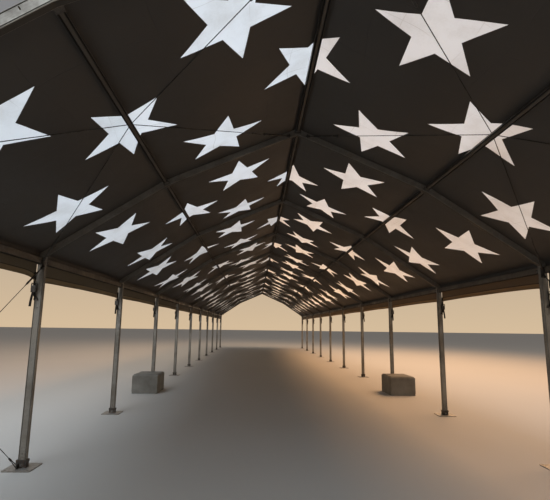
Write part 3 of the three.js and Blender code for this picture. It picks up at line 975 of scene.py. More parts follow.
for name, axes, half, depth in shoe_lines:
    form = Form()
    bolts = []
    for bay in range(BAYS):
        shoe(form, bolts, axes, half, depth, frame_y(bay) + PROFILE_HALF_WIDTH, 1)
        shoe(form, bolts, axes, half, depth, frame_y(bay + 1) - PROFILE_HALF_WIDTH, -1)
    declare(put_in_scene(name, form.mesh(name, [SHOE_STEEL])), "steel")
    fixings = bolts_piece(name.replace("shoes", "shoe_bolts"), bolts, SHOE_BOLT["width"], SHOE_BOLT["height"])
    declare(fixings, "steel")


# Wire-rope bracing of the end bays
# Two crossed ropes in each wall and two under each slope hold the end bays square. The roof ropes bend over
# the mid purlin where they cross. Each is six strands laid round a core, drawn tight by a tubular tensioner
# at one end; the other end runs round a thimble and back into a pressed ferrule.
ROPE_DIAMETER = 0.008
ROPE_LAY = 0.05
ROPE_STEP = 0.012
ROPE_STRANDS = 6
ROPE_GROOVE_SHARE = 0.38
ROPE_ABOVE_PURLIN = 0.0023
ROPE_IN_FERRULE = 0.002
TENSIONER = {"radius": 0.011, "length": 0.27, "from_eye": 0.11, "screw_start": 0.03, "screw_radius": 0.005,
             "stud_length": 0.03, "stud_radii": (0.006, 0.0048), "to_rope": 0.02, "to_far_pin": 0.062}
FERRULE = {"radius": 0.0095, "length": 0.07, "first_taper": 0.004, "last_taper": 0.006}
FERRULE_FROM_PIN = {"foot": 0.14, "ridge": 0.14, "eave": 0.555}
EYE_PLATE = {"thickness": 0.01, "length": 0.055, "half_height": 0.025, "corner": 0.012,
             "eye_from_face": 0.035, "hole": 0.009, "gap": 0.0003}
EAVE_EYES = {"x": 2.913, "wall_z": 2.166, "roof_z": 2.24}
FOOT_EYE = {"x": 2.97, "z": 0.036, "aside": 0.0095}
RIDGE_EYE = {"x": 0.11, "below_centre_line": 0.035}
JAW = {"half_spread": 0.009, "cheek_half": 0.003, "half_width": 0.01, "before_pin": 0.012, "base": 0.032,
       "base_height": 0.008, "base_half": 0.012, "pin_half": 0.017, "pin_radius": 0.005}
THIMBLE = {"radius": 0.014, "groove": 0.005, "from_pin": 0.012, "throat": 0.02, "first_angle": -210,
           "sweep": 240, "steps": 14}
LEGS_HALF_APART = {"thimble": 0.0125, "ferrule": 0.0045}
LYING_ACROSS = Matrix.Rotation(math.radians(90), 4, "Y")


def wire_rope_tree():
    """Strands twisted along a curve: a star-shaped section whose tilt grows with the length."""
    tree, given, result = shape_tree("wire_rope", [
        ("Diameter", "NodeSocketFloat"), ("Lay Length", "NodeSocketFloat"), ("Strands", "NodeSocketInt"),
        ("Step", "NodeSocketFloat"), ("Material", "NodeSocketMaterial")])
    even = add_node(tree, "GeometryNodeResampleCurve", {"Curve": given["Geometry"], "Length": given["Step"]},
                    mode="LENGTH")
    run = add_node(tree, "GeometryNodeSplineParameter").outputs["Length"]
    turns = math_node(tree, "DIVIDE", run, given["Lay Length"])
    tilt = math_node(tree, "MULTIPLY", turns, 2 * math.pi)
    twisted = add_node(tree, "GeometryNodeSetCurveTilt", {"Curve": even.outputs[0], "Tilt": tilt})
    section = add_node(tree, "GeometryNodeCurveStar", {
        "Points": given["Strands"],
        "Inner Radius": math_node(tree, "MULTIPLY", given["Diameter"], ROPE_GROOVE_SHARE),
        "Outer Radius": math_node(tree, "MULTIPLY", given["Diameter"], 0.5)})
    tube = add_node(tree, "GeometryNodeCurveToMesh", {
        "Curve": twisted.outputs[0], "Profile Curve": section.outputs["Curve"], "Fill Caps": True})
    end_tree(tree, tube.outputs[0], given["Material"], result)
    return tree


WIRE_ROPE = wire_rope_tree()
ROPE_STEEL = steel(
    "rope_steel", clean=(0.016, 0.015, 0.014, 1.0), rust=(0.03, 0.02, 0.013, 1.0), rust_amount=0.3)
FITTING_STEEL = steel(
    "fitting_steel", clean=(0.03, 0.028, 0.025, 1.0), rust=(0.05, 0.032, 0.02, 1.0), rust_amount=0.3)


def tensioner():
    """Tubular tensioner on Z, with the screw from the eye plate's jaw and the stud at its far end."""
    start = TENSIONER["from_eye"]
    end = start + TENSIONER["length"]
    radius = TENSIONER["radius"]
    half = [(0.0, 0.6), (0.002, 0.86), (0.02, 0.9), (0.022, 1.0), (0.05, 1.0), (0.052, 0.88)]
    tube = [(start + run, radius * share) for run, share in half]
    tube += [(end - run, radius * share) for run, share in reversed(half)]
    screw = [(TENSIONER["screw_start"], TENSIONER["screw_radius"]), (start, TENSIONER["screw_radius"])]
    thick, slim = TENSIONER["stud_radii"]
    stud = [(end, thick), (end + TENSIONER["stud_length"], slim)]
    return [turned(tube, 14), turned(screw, 10), turned(stud, 10)]


def jaw(at, turn_over):
    """Forked jaw on Z, with a pin across the fork at Z = at."""
    sign = -1 if turn_over else 1
    base = at + sign * JAW["base"]
    y = JAW["half_width"]
    parts = []
    for side in (-1, 1):
        x = side * JAW["half_spread"]
        low, high = sorted((at - sign * JAW["before_pin"], base))
        parts.append(block((x - JAW["cheek_half"], -y, low), (x + JAW["cheek_half"], y, high)))
    low, high = sorted((base, base + sign * JAW["base_height"]))
    parts.append(block((-JAW["base_half"], -y, low), (JAW["base_half"], y, high)))
    vertices, faces, surface = rod(JAW["pin_half"], JAW["pin_radius"], 10)
    across = Matrix.Translation((0.0, 0.0, at)) @ LYING_ACROSS
    parts.append(([across @ point for point in vertices], faces, surface))
    return parts


def rope_loop(at, ferrule_from_pin):
    """Rope's end on Z: round a grooved thimble on the pin at Z = at, and back into a pressed ferrule."""
    rings = []
    sixth = [math.pi * k / 3 for k in range(6)]
    sideways = Vector((1.0, 0.0, 0.0))
    for step in range(THIMBLE["steps"] + 1):
        turn = math.radians(THIMBLE["first_angle"] + THIMBLE["sweep"] * step / THIMBLE["steps"])
        out = Vector((0.0, math.cos(turn), math.sin(turn)))
        centre = Vector((0.0, 0.0, at + THIMBLE["from_pin"])) + out * THIMBLE["radius"]
        rings.append([centre + (out * math.cos(a) + sideways * math.sin(a)) * THIMBLE["groove"]
                      for a in sixth])
    start = at + ferrule_from_pin
    full = start + FERRULE["first_taper"]
    end = start + FERRULE["length"]
    radius = ROPE_DIAMETER / 2
    leg = ((LEGS_HALF_APART["thimble"], at + THIMBLE["throat"]), (LEGS_HALF_APART["ferrule"], full))
    legs = []
    for side in (-1, 1):
        legs.append(skin([[Vector((math.cos(a) * radius, side * y + math.sin(a) * radius, z)) for a in sixth]
                          for y, z in leg]))
    ferrule = turned([(start, FERRULE["radius"] * 0.6), (full, FERRULE["radius"]),
                      (end - FERRULE["last_taper"], FERRULE["radius"]), (end, radius * 1.1)], 12)
    return [skin(rings)] + legs + [ferrule]


def eye_plate(form, x, heights, face_y, inwards):
    """Plate on a frame's face, with a hole for each rope eye."""
    middle_z = (min(heights) + max(heights)) / 2
    half_height = max(heights) - middle_z + EYE_PLATE["half_height"]
    outline = rounded_box(EYE_PLATE["length"] / 2, half_height, EYE_PLATE["corner"])
    across = EYE_PLATE["eye_from_face"] - EYE_PLATE["length"] / 2
    holes = [round_hole((across, z - middle_z), EYE_PLATE["hole"], 12) for z in heights]
    half = EYE_PLATE["thickness"] / 2
    middle = Vector((x, face_y + inwards * (EYE_PLATE["length"] / 2 + EYE_PLATE["gap"]), middle_z))
    axes = Matrix(((0, 0, 1), (inwards, 0, 0), (0, 1, 0))).to_4x4()
    form.add(plate(outline, holes, -half, half), slot=1, place=Matrix.Translation(middle) @ axes)


def bracing(end_word, word):
    """The ropes and fittings of one side of one end bay."""
    side = SIDES[word]
    first_frame = 0 if end_word == "front" else BAYS - 1
    middle_y = frame_y(first_frame + 0.5)
    kink = LEFT_KINK if side < 0 else RIGHT_KINK
    crossing_xz = frame_point(kink, PURLIN_SIZE["top"] + ROPE_ABOVE_PURLIN + ROPE_DIAMETER / 2)
    crossing = Vector((crossing_xz.x, middle_y, crossing_xz.y))
    slope = (RIDGE_Z - KINK_Z) / KINK_X
    ridge_z = RIDGE_Z - RIDGE_EYE["x"] * slope - RIDGE_EYE["below_centre_line"]
    form = Form()
    runs = []

    def anchor(x, heights, inwards, half_depth):
        face_y = middle_y - inwards * (BAY / 2 - half_depth)
        eye_plate(form, side * x, heights, face_y, inwards)
        return [Vector((side * x, face_y + inwards * EYE_PLATE["eye_from_face"], z)) for z in heights]

    def fit(parts, eye, towards):
        for part in parts:
            form.add(part, slot=1, place=facing(eye, towards))

    def tight_end(eye, towards, looped):
        """Jaw and tensioner, and where looped a second jaw and a loop; returns where the bare rope starts."""
        end = TENSIONER["from_eye"] + TENSIONER["length"]
        fit(jaw(0.0, False) + tensioner(), eye, towards)
        if not looped:
            return eye + towards * (end + TENSIONER["to_rope"])
        far_pin = end + TENSIONER["to_far_pin"]
        fit(jaw(far_pin, True) + rope_loop(far_pin, FERRULE_FROM_PIN["ridge"]), eye, towards)
        ferrule_end = far_pin + FERRULE_FROM_PIN["ridge"] + FERRULE["length"]
        return eye + towards * (ferrule_end - ROPE_IN_FERRULE)

    def plain_end(eye, towards, where):
        fit(jaw(0.0, False)[-1:] + rope_loop(0.0, FERRULE_FROM_PIN[where]), eye, towards)
        return eye + towards * (FERRULE_FROM_PIN[where] + FERRULE["length"] - ROPE_IN_FERRULE)

    eaves = {}
    for inwards in (1, -1):
        heights = (EAVE_EYES["wall_z"], EAVE_EYES["roof_z"])
        eaves[inwards] = anchor(EAVE_EYES["x"], heights, inwards, PROFILE_HALF_WIDTH)
    for inwards in (1, -1):
        ridge = anchor(RIDGE_EYE["x"], (ridge_z,), -inwards, PROFILE_HALF_WIDTH)[0]
        eave = eaves[inwards][1]
        start = tight_end(ridge, (crossing - ridge).normalized(), True)
        end = plain_end(eave, (crossing - eave).normalized(), "eave")
        runs.append([start, crossing, end])
        foot = anchor(FOOT_EYE["x"], (FOOT_EYE["z"],), inwards, SLEEVE_HALF[1])[0]
        foot = foot + Vector((inwards * FOOT_EYE["aside"], 0.0, 0.0))
        top = eaves[-inwards][0]
        start = tight_end(top, (foot - top).normalized(), False)
        end = plain_end(foot, (top - foot).normalized(), "foot")
        runs.append([start, end])
    name = f"{end_word}_{word}"
    curve = bpy.data.curves.new("bracing_lines_" + name, "CURVE")
    curve.dimensions = "3D"
    for run in runs:
        spline = curve.splines.new("POLY")
        spline.points.add(len(run) - 1)
        for point, place in zip(spline.points, run):
            point.co = (*place, 1.0)
    ropes = grown("wire_ropes_" + name, bpy.data.objects.new("bracing_lines_" + name, curve), WIRE_ROPE, {
        "Diameter": ROPE_DIAMETER, "Lay Length": ROPE_LAY, "Strands": ROPE_STRANDS, "Step": ROPE_STEP,
        "Material": ROPE_STEEL})
    declare(ropes, "rope", "bracing_" + name)
    fittings = form.mesh("rope_fittings_" + name, [ROPE_STEEL, FITTING_STEEL])
    declare(put_in_scene("rope_fittings_" + name, fittings), "steel")


for end_word in ("front", "back"):
    for word in SIDES:
        bracing(end_word, word)


# Roof covers
# Each bay has one dark coated cover. Beads on its two long edges run in the frames' tracks, it lies over the
# purlins and sags between them, and it ends past each eave in a valance, doubled at the top and hemmed below.
# The stars are pale translucent panels of the same cloth, set by hand, so that each bay differs a little.
CLOTH_OFFSET = 0.033
CLOTH_THICKNESS = 0.0012
HEM_THICKNESS = 0.0036
HEM_HEIGHT = 0.075
HEM_SEAM_HALF = 0.009
DOUBLED_TOP = 0.1
BEAD_IN_TRACK = 0.006
CLOTH_STEP = 0.075
CLEAR_OF_STARS = CLOTH_STEP * 0.3
SAME_PLACE = 1e-6
CLOTH_SAG = 0.038
CLOTH_REST = 0.06
FOLD_HEIGHT = 0.007
PUCKER_HEIGHT = 0.005
EAVE_ROUND = 0.02
RIDGE_ROUND = 0.03
VALANCE_DROP = 0.35
VALANCE_SLIT = 0.04
VALANCE_WAVE = 0.016
VALANCE_LEAN = 0.004
SLIT_START = 0.13
STAR_CLEARANCE = 0.012
HEM_Z = {"left": (2.045, 2.0), "right": (2.03, 2.03)}
HEM_RISE = 0.01
CORNER_PULL = {"left": (0.055, 0.012), "right": (0.012, 0.012)}
CORNER_PULL_REACH = 0.083
CORNER_LINES = (0.022, 0.048)
STAR_TIP = 0.47
STAR_NOTCH = 0.4
STAR_EDGE_STEP = 0.06
LATER_TURN = 23
HALF_BAY = BAY / 2 - PROFILE_HALF_WIDTH
CLOTH_EDGE = HALF_BAY + BEAD_IN_TRACK
VALANCE_EDGE = HALF_BAY - VALANCE_SLIT
# Stars as their place along the bay from its first frame, place across from the ridge, and turn in degrees
STARS = [
    [(0.69, -2.58, 37), (2.37, -2.73, 27), (1.55, -1.78, 61), (0.65, -0.75, 7), (2.4, -0.97, 24),
     (1.53, -0.06, 5), (0.67, 0.84, 57), (2.37, 0.84, 70), (1.56, 1.66, 2), (0.7, 2.7, 30), (2.44, 2.63, 47)],
    [(0.71, -2.63, 59), (2.38, -2.59, 54), (1.58, -1.65, 35), (0.72, -0.81, 35), (2.38, -0.86, 24),
     (1.63, 0.08, 39), (0.69, 0.95, 60), (2.38, 0.73, 39), (1.65, 1.8, 19), (0.78, 2.74, 60),
     (2.38, 2.65, 0)],
    [(0.7, -2.79, 54), (2.38, -2.86, 18), (1.61, -1.92, 22), (0.72, -1.05, 18), (2.38, -0.95, 36),
     (1.54, -0.08, 62), (0.73, 0.72, 14), (2.38, 0.71, 3), (1.57, 1.72, 39), (0.75, 2.69, 60),
     (2.38, 2.66, 40)],
    [(0.7, -2.63, 36), (2.38, -2.65, 20), (1.6, -1.68, 65), (0.7, -0.72, 7), (2.38, -1.01, 40),
     (1.57, 0.05, 8), (0.7, 0.81, 61), (2.38, 0.83, 10), (1.67, 1.72, 56), (0.7, 2.58, 14), (2.38, 2.66, 20)],
]


def rounded_path(points, rounds, steps=4):
    """The points with some corners replaced by curves that start and end that far from the corner."""
    path = [points[0]]
    for index in range(1, len(points) - 1):
        size = rounds.get(index, 0.0)
        corner = points[index]
        if size == 0.0:
            path.append(corner)
            continue
        start = corner + (points[index - 1] - corner).normalized() * size
        end = corner + (points[index + 1] - corner).normalized() * size
        for step in range(steps + 1):
            t = step / steps
            path.append(start * (1 - t) ** 2 + corner * 2 * t * (1 - t) + end * t ** 2)
    return path + [points[-1]]


class ClothSection:
    """Cut of a cover across the tent, read by the distance from the ridge along the cloth."""

    def __init__(self):
        corners = [frame_point(corner, CLOTH_OFFSET) for corner in range(LEFT_EAVE, RIGHT_EAVE + 1)]
        left = corners[0] - Vector((0.0, VALANCE_DROP))
        right = corners[-1] - Vector((0.0, VALANCE_DROP))
        rounds = {1: EAVE_ROUND, 3: RIDGE_ROUND, 5: EAVE_ROUND}
        self.path = rounded_path([left] + corners + [right], rounds)
        self.run = [0.0]
        for before, after in zip(self.path, self.path[1:]):
            self.run.append(self.run[-1] + (after - before).length)
        middle = self.run[-1] / 2
        self.run = [value - middle for value in self.run]
        self.half = middle
        self.eave = middle - VALANCE_DROP
        kink_at = self.path.index(corners[1])
        self.kink = abs(self.run[kink_at])
        self.supports = [-self.eave, -self.kink, 0.0, self.kink, self.eave]

    def at(self, across):
        """Point and outward direction at a distance from the ridge."""
        index = 0
        while index < len(self.run) - 2 and self.run[index + 1] < across:
            index += 1
        before = self.path[index]
        after = self.path[index + 1]
        along = (after - before).normalized()
        point = before + along * (across - self.run[index])
        return point, Vector((-along.y, along.x))

    def hanging(self, across):
        """How freely the cloth hangs there: none at a support and one half way between two."""
        for low, high in zip(self.supports, self.supports[1:]):
            if low <= across <= high:
                share = (across - low - CLOTH_REST) / (high - low - 2 * CLOTH_REST)
                return math.sin(math.pi * min(max(share, 0.0), 1.0))
        return 0.0


SECTION = ClothSection()
FOLDS = [value for value in SECTION.run if abs(value) < SECTION.half - SAME_PLACE]
HEM_LINE = SECTION.half - HEM_HEIGHT
SLIT_LINE = SECTION.eave + SLIT_START
DOUBLED_LINE = SECTION.eave + DOUBLED_TOP


def hem_height(word, y, bay):
    """Height of the valance's hem: a little higher in mid bay and pulled down by the straps at both corners,
    most at the left of the first bay."""
    height = HEM_Z[word][min(bay, 1)]
    rise = HEM_RISE * math.cos(math.pi * y / (2 * VALANCE_EDGE))
    pull = CORNER_PULL[word][min(bay, 1)] * math.exp((abs(y) - VALANCE_EDGE) / CORNER_PULL_REACH)
    return height + rise - pull


def cloth_point(y, across, bay):
    """Place of a point of the flat cloth on the hung cover, relative to the middle of its bay."""
    free = math.cos(math.pi * min(abs(y), HALF_BAY) / (2 * HALF_BAY))
    flat, normal = SECTION.at(max(-SECTION.half, min(SECTION.half, across)))
    beyond = abs(across) - SECTION.eave
    if beyond <= 0.0:
        hanging = SECTION.hanging(across)
        folds = noise.noise(Vector((y * 1.1, across * 3.2, bay * 5.3))) * FOLD_HEIGHT
        puckers = noise.noise(Vector((y * 4.5, across * 1.3, bay * 3.1 + 20))) * PUCKER_HEIGHT
        folds += puckers * (1.0 - 0.6 * free)
        slack = math.sqrt(hanging * min(1.0, free * 2.5))
        place = flat + normal * (folds * slack - CLOTH_SAG * hanging * free)
        return Vector((place.x, y, place.y))
    word = "left" if across < 0 else "right"
    share = min(beyond / VALANCE_DROP, 1.0)
    top = flat.y + beyond
    height = top - share * (top - hem_height(word, y, bay))
    side = SIDES[word]
    wave = noise.noise(Vector((y * 2.2, share * 1.2, bay * 7.7 + side * 11))) * VALANCE_WAVE
    return Vector((flat.x + side * share * (wave - VALANCE_LEAN), y, height))


def star_outline(centre, turn):
    """Five-pointed star on the flat cloth, with extra points along its edges so that it can bend."""
    corners = []
    for index in range(10):
        radius = STAR_TIP if index % 2 == 0 else STAR_TIP * STAR_NOTCH
        angle = math.radians(turn + 36 * index)
        corners.append(Vector((centre[0] + radius * math.cos(angle), centre[1] + radius * math.sin(angle))))
    outline = []
    for start, end in zip(corners, corners[1:] + corners[:1]):
        pieces = max(1, round((end - start).length / STAR_EDGE_STEP))
        outline += [start.lerp(end, piece / pieces) for piece in range(pieces)]
    return outline


def stars_of(bay):
    """The stars of a bay, clear of its frames: as measured in the first four, then the same four layouts with
    new turns."""
    limit = HALF_BAY - STAR_CLEARANCE
    stars = []
    for along, across, turn in STARS[bay % len(STARS)]:
        turn += LATER_TURN * (bay // len(STARS))
        reaches = [STAR_TIP * math.cos(math.radians(turn + 72 * tip)) for tip in range(5)]
        place = min(max(along - BAY / 2, -limit - min(reaches)), limit - max(reaches))
        stars.append((place, across, turn))
    return stars


def cloth_lines(half, step, extra):
    count = round(2 * half / step)
    values = [-half + 2 * half * index / count for index in range(count + 1)]
    near = [v for v in values if all(abs(v - e) > step * 0.4 for e in extra)]
    return sorted(near + list(extra))


def both_signs(values):
    return [sign * value for value in values for sign in (-1, 1)]


def cloth_grid(star_points):
    """Points of the flat cloth on evenly spaced lines, thinned beside the stars except on folds and edges."""
    corners = [VALANCE_EDGE - inset for inset in CORNER_LINES]
    along_lines = cloth_lines(CLOTH_EDGE, CLOTH_STEP, both_signs(
        [CLOTH_EDGE, HALF_BAY, VALANCE_EDGE] + corners))
    across_lines = cloth_lines(SECTION.half, CLOTH_STEP, FOLDS + both_signs(
        [HEM_LINE, SLIT_LINE, DOUBLED_LINE, SECTION.half]))
    grid = []
    for y in along_lines:
        for across in across_lines:
            if abs(across) > SLIT_LINE + SAME_PLACE and abs(y) > VALANCE_EDGE + SAME_PLACE:
                continue
            point = Vector((y, across))
            on_edge = abs(abs(y) - CLOTH_EDGE) <= SAME_PLACE
            on_fold = any(abs(across - fold) <= SAME_PLACE for fold in FOLDS)
            if not on_edge and not on_fold:
                if any((point - other).length_squared < CLEAR_OF_STARS ** 2 for other in star_points):
                    continue
            grid.append(point)
    return grid


def flat_cover(outlines):
    """Points and triangles of the flat cloth, with edges on its folds and round its stars."""
    points = cloth_grid([point for outline in outlines for point in outline])
    edges = []
    for fold in FOLDS + [-SLIT_LINE, SLIT_LINE]:
        width = CLOTH_EDGE if abs(fold) <= SLIT_LINE + SAME_PLACE else VALANCE_EDGE
        start = len(points)
        points += [Vector((-width, fold)), Vector((width, fold))]
        edges.append((start, start + 1))
    for outline in outlines:
        start = len(points)
        points += outline
        edges += [(start + i, start + (i + 1) % len(outline)) for i in range(len(outline))]
    flat, _, triangles, _, _, _ = delaunay_2d_cdt(points, edges, [], 0, SAME_PLACE)
    return flat, triangles


def cover_mesh(bay):
    """Hung cover of a bay, with its materials for cloth, stars and valance, and the points of its hem."""
    outlines = [star_outline((along, across), turn) for along, across, turn in stars_of(bay)]
    flat, triangles = flat_cover(outlines)
    faces = []
    slots = []
    loops = [[(p.x, p.y) for p in outline] for outline in outlines]
    for face in triangles:
        centre = sum((flat[corner] for corner in face), Vector((0.0, 0.0))) / 3
        if abs(centre.y) > SLIT_LINE and abs(centre.x) > VALANCE_EDGE:
            continue
        faces.append(list(face))
        on_star = any(in_loop(centre, loop) for loop in loops)
        slots.append(1 if on_star else 2 if abs(centre.y) > DOUBLED_LINE else 0)
    mesh = bpy.data.meshes.new(f"cover_{bay + 1:02d}")
    middle_y = frame_y(bay + 0.5)
    mesh.from_pydata([cloth_point(p.x, p.y, bay) + Vector((0.0, middle_y, 0.0)) for p in flat], [], faces)
    for material in (COVER_CLOTH, STAR_CLOTH, VALANCE_CLOTH):
        mesh.materials.append(material)
    mesh.polygons.foreach_set("material_index", slots)
    mesh.polygons.foreach_set("use_smooth", [True] * len(faces))
    layer = mesh.uv_layers.new(name="cloth")
    for loop in mesh.loops:
        place = flat[loop.vertex_index]
        layer.data[loop.index].uv = (place.x + bay * BAY, place.y)
    hem = [index for index, p in enumerate(flat) if abs(p.y) >= HEM_LINE - SAME_PLACE]
    return mesh, hem


CREASE_WANDER = 0.06


def crease_group():
    """Lines left by folding a sheet into a pack, with a little wander, stronger in some places."""
    group, given, result = shader_group(
        "pack_creases",
        [("Cloth", "NodeSocketVector", None), ("Spacing Along", "NodeSocketFloat", 0.62),
         ("Spacing Across", "NodeSocketFloat", 0.85), ("Width", "NodeSocketFloat", 0.006)],
        [("Line", "NodeSocketFloat")],
    )
    split = add_node(group, "ShaderNodeSeparateXYZ", {0: given["Cloth"]})
    wander = noise_texture(group, given["Cloth"], 1.1, 2.0)
    shift = ramp(group, wander, 0.3, 0.7, -CREASE_WANDER, CREASE_WANDER)
    fade = ramp(group, noise_texture(group, given["Cloth"], 2.3, 1.0), 0.42, 0.62)
    lines = []
    for index, spacing in ((0, "Spacing Along"), (1, "Spacing Across")):
        moved = math_node(group, "ADD", split.outputs[index], shift)
        part = math_node(group, "FRACT", math_node(group, "DIVIDE", moved, given[spacing]))
        away = math_node(group, "ABSOLUTE", math_node(group, "SUBTRACT", part, 0.5))
        distance = math_node(group, "MULTIPLY", away, given[spacing])
        near = add_node(group, "ShaderNodeMapRange", {
            "Value": distance, "From Min": 0.0, "From Max": given["Width"], "To Min": 1.0, "To Max": 0.0},
            interpolation_type="SMOOTHSTEP")
        lines.append(near.outputs[0])
    both = math_node(group, "MAXIMUM", lines[0], lines[1])
    group.links.new(math_node(group, "MULTIPLY", both, fade), result["Line"])
    return group


def weave_group():
    """Threads of a plain weave, over and under, from the cloth's own coordinates."""
    group, given, result = shader_group(
        "plain_weave",
        [("Cloth", "NodeSocketVector", None), ("Threads Per Metre", "NodeSocketFloat", 700.0)],
        [("Height", "NodeSocketFloat")],
    )
    split = add_node(group, "ShaderNodeSeparateXYZ", {0: given["Cloth"]})
    waves = []
    for index in (0, 1):
        turn = math_node(group, "MULTIPLY", split.outputs[index], given["Threads Per Metre"])
        waves.append(math_node(group, "SINE", math_node(group, "MULTIPLY", turn, math.pi)))
    product = math_node(group, "MULTIPLY", waves[0], waves[1])
    group.links.new(ramp(group, product, -1.0, 1.0), result["Height"])
    return group


CREASES = crease_group()
WEAVE = weave_group()
COVER_COLOUR = (0.037, 0.032, 0.027, 1.0)
COVER_DUST = (0.07, 0.06, 0.049, 1.0)
COVER_PAINTED_SHADE_LINE_COLOUR = (0.022, 0.019, 0.017, 1.0)
LIGHT_THROUGH_COLOUR = (0.45, 0.38, 0.28, 1.0)
HEM_LIGHT_COLOUR = (0.74, 0.6, 0.4, 1.0)
STAR_COLOUR = (0.86, 0.87, 0.88, 1.0)
STAR_STAIN_AND_FOLD_SHADE_COLOUR = (0.5, 0.47, 0.43, 1.0)
COVER_LIGHT_THROUGH = 0.015
VALANCE_LIGHT_THROUGH = 0.36
STAR_LIGHT_THROUGH = 0.8


def finish_cloth(tree, light_through, normal, colour, roughness, shining):
    """Cloth that shows its face's colour and lets a share of the light behind it shine through."""
    face = add_node(tree, "ShaderNodeBsdfPrincipled", {
        "Base Color": colour, "Roughness": roughness, "Normal": normal})
    through = add_node(tree, "ShaderNodeBsdfTranslucent", {"Color": shining, "Normal": normal})
    both = add_node(tree, "ShaderNodeMixShader", {
        0: light_through, 1: face.outputs[0], 2: through.outputs[0]})
    finish_material(tree, both.outputs[0])


def cover_cloth(name, light_through):
    """Dark matt coated polyester with dust, pack creases and the weave showing, and some light through it.
    The hem's seam and the pack creases carry painted shade lines, and the hem below it lets more light
    through."""
    material, tree = new_material(name)
    coordinates = add_node(tree, "ShaderNodeTexCoord")
    cloth = coordinates.outputs["UV"]
    grime = grime_on(tree, coordinates.outputs["Object"], 1.1, 0.5)
    crease = place_group(tree, CREASES, {"Cloth": cloth})["Line"]
    weave = place_group(tree, WEAVE, {"Cloth": cloth})["Height"]
    dusty = mixed_colour(tree, math_node(tree, "MULTIPLY", grime["Mask"], 0.45), COVER_COLOUR, COVER_DUST)
    across = math_node(tree, "ABSOLUTE", add_node(tree, "ShaderNodeSeparateXYZ", {0: cloth}).outputs[1])
    past_seam = math_node(tree, "SUBTRACT", across, HEM_LINE)
    seam = ramp(tree, math_node(tree, "ABSOLUTE", past_seam), HEM_SEAM_HALF, 0.0)
    # Painted shade: the hem's seam and the pack creases are darkened to a near black line for the shade in
    # them.
    painted_shade_line = math_node(tree, "MAXIMUM", seam, math_node(tree, "MULTIPLY", crease, 0.55))
    colour = mixed_colour(tree, painted_shade_line, dusty, COVER_PAINTED_SHADE_LINE_COLOUR)
    hem_share = ramp(tree, past_seam, 0.0, HEM_SEAM_HALF)
    shining = mixed_colour(tree, hem_share, LIGHT_THROUGH_COLOUR, HEM_LIGHT_COLOUR)
    shining = mixed_colour(tree, seam, shining, COVER_COLOUR)
    rumple = noise_texture(tree, cloth, 5.5, 4.0)
    height = math_node(tree, "ADD", math_node(tree, "MULTIPLY", crease, -0.5), rumple)
    fine = bumped(tree, weave, 0.2, 0.0003, Normal=bumped(tree, height, 0.35, 0.01))
    finish_cloth(tree, light_through, fine, colour, by_mask(tree, grime["Mask"], 0.55, 0.72), shining)
    return material


def star_cloth():
    """White translucent cloth: light from outside shines through it, less where painted shade darkens its
    creases.
    """
    material, tree = new_material("star_cloth")
    cloth = add_node(tree, "ShaderNodeTexCoord").outputs["UV"]
    crease = place_group(tree, CREASES, {"Cloth": cloth, "Spacing Along": 0.31, "Spacing Across": 0.42,
                                         "Width": 0.004})["Line"]
    weave = place_group(tree, WEAVE, {"Cloth": cloth})["Height"]
    stains = grime_on(tree, cloth, 3.0, 0.35)["Mask"]
    stained = mixed_colour(tree, math_node(tree, "MULTIPLY", stains, 0.3), STAR_COLOUR, STAR_STAIN_AND_FOLD_SHADE_COLOUR)
    # Painted shade: the creases darken the star's face and the light through it; the stains are real.
    colour = mixed_colour(tree, math_node(tree, "MULTIPLY", crease, 0.6), stained, STAR_STAIN_AND_FOLD_SHADE_COLOUR)
    finish_cloth(tree, STAR_LIGHT_THROUGH, bumped(tree, weave, 0.15, 0.0003), colour, 0.6, colour)
    return material


COVER_CLOTH = cover_cloth("cover_cloth", COVER_LIGHT_THROUGH)
VALANCE_CLOTH = cover_cloth("valance_cloth", VALANCE_LIGHT_THROUGH)
STAR_CLOTH = star_cloth()
for bay in range(BAYS):
    mesh, hem = cover_mesh(bay)
    cover = put_in_scene(f"star_cover_{bay + 1:02d}", mesh)
    group = cover.vertex_groups.new(name="hem")
    group.add(hem, 1.0, "REPLACE")
    thick = cover.modifiers.new("thickness", "SOLIDIFY")
    thick.thickness = HEM_THICKNESS
    thick.vertex_group = "hem"
    thick.thickness_vertex_group = CLOTH_THICKNESS / HEM_THICKNESS
    thick.offset = 0.0
    declare(cover, "cover", f"roof_cover_{bay + 1:02d}")


# Valance straps
# A dark webbing strap is sewn to each lower corner of a valance and drawn down beside the post by a small
# ratchet buckle of dark steel. Its other end is held by a steel lug on the post, and the spare webbing hangs
# loose below the ratchet.
STRAP_WIDTH = 0.028
STRAP_THICKNESS = 0.002
STRAP_TOP_Z = 2.1
STRAP_PATCH = {"aside": 0.03, "length": 0.08, "width": STRAP_WIDTH * 1.9, "thickness": STRAP_THICKNESS * 2.2}
RATCHET = {"top": 1.985, "length": 0.11, "width": 0.06, "depth": 0.026, "from_post": 0.024,
           "x": POST_X + 0.045, "plate": 0.003, "drum_radius": 0.009}
LUG = {"z": 1.8, "half_height": 0.014, "reach": 0.022, "thickness": 0.004, "spread": 0.017,
       "x": POST_X + 0.02, "pin_from_face": 0.014, "pin_past_side": 0.005, "pin_radius": 0.004,
       "gap": 0.0005}
DRUM_ABOVE_MIDDLE = 0.15
STRAP_END_BELOW_MIDDLE = 0.4
TAIL_LENGTH = 0.17
TAIL_STEPS = 5
TAIL_LEAN_OUT = (-0.02, 0.12)
TAIL_LEAN_ALONG = (0.05, 0.3)
TAIL_FROM_STRAP = 0.008
WEBBING_COLOUR = (0.014, 0.012, 0.01, 1.0)
WEBBING_WORN = (0.042, 0.035, 0.028, 1.0)
CLOTH_X = POST_X + CLOTH_OFFSET - VALANCE_LEAN


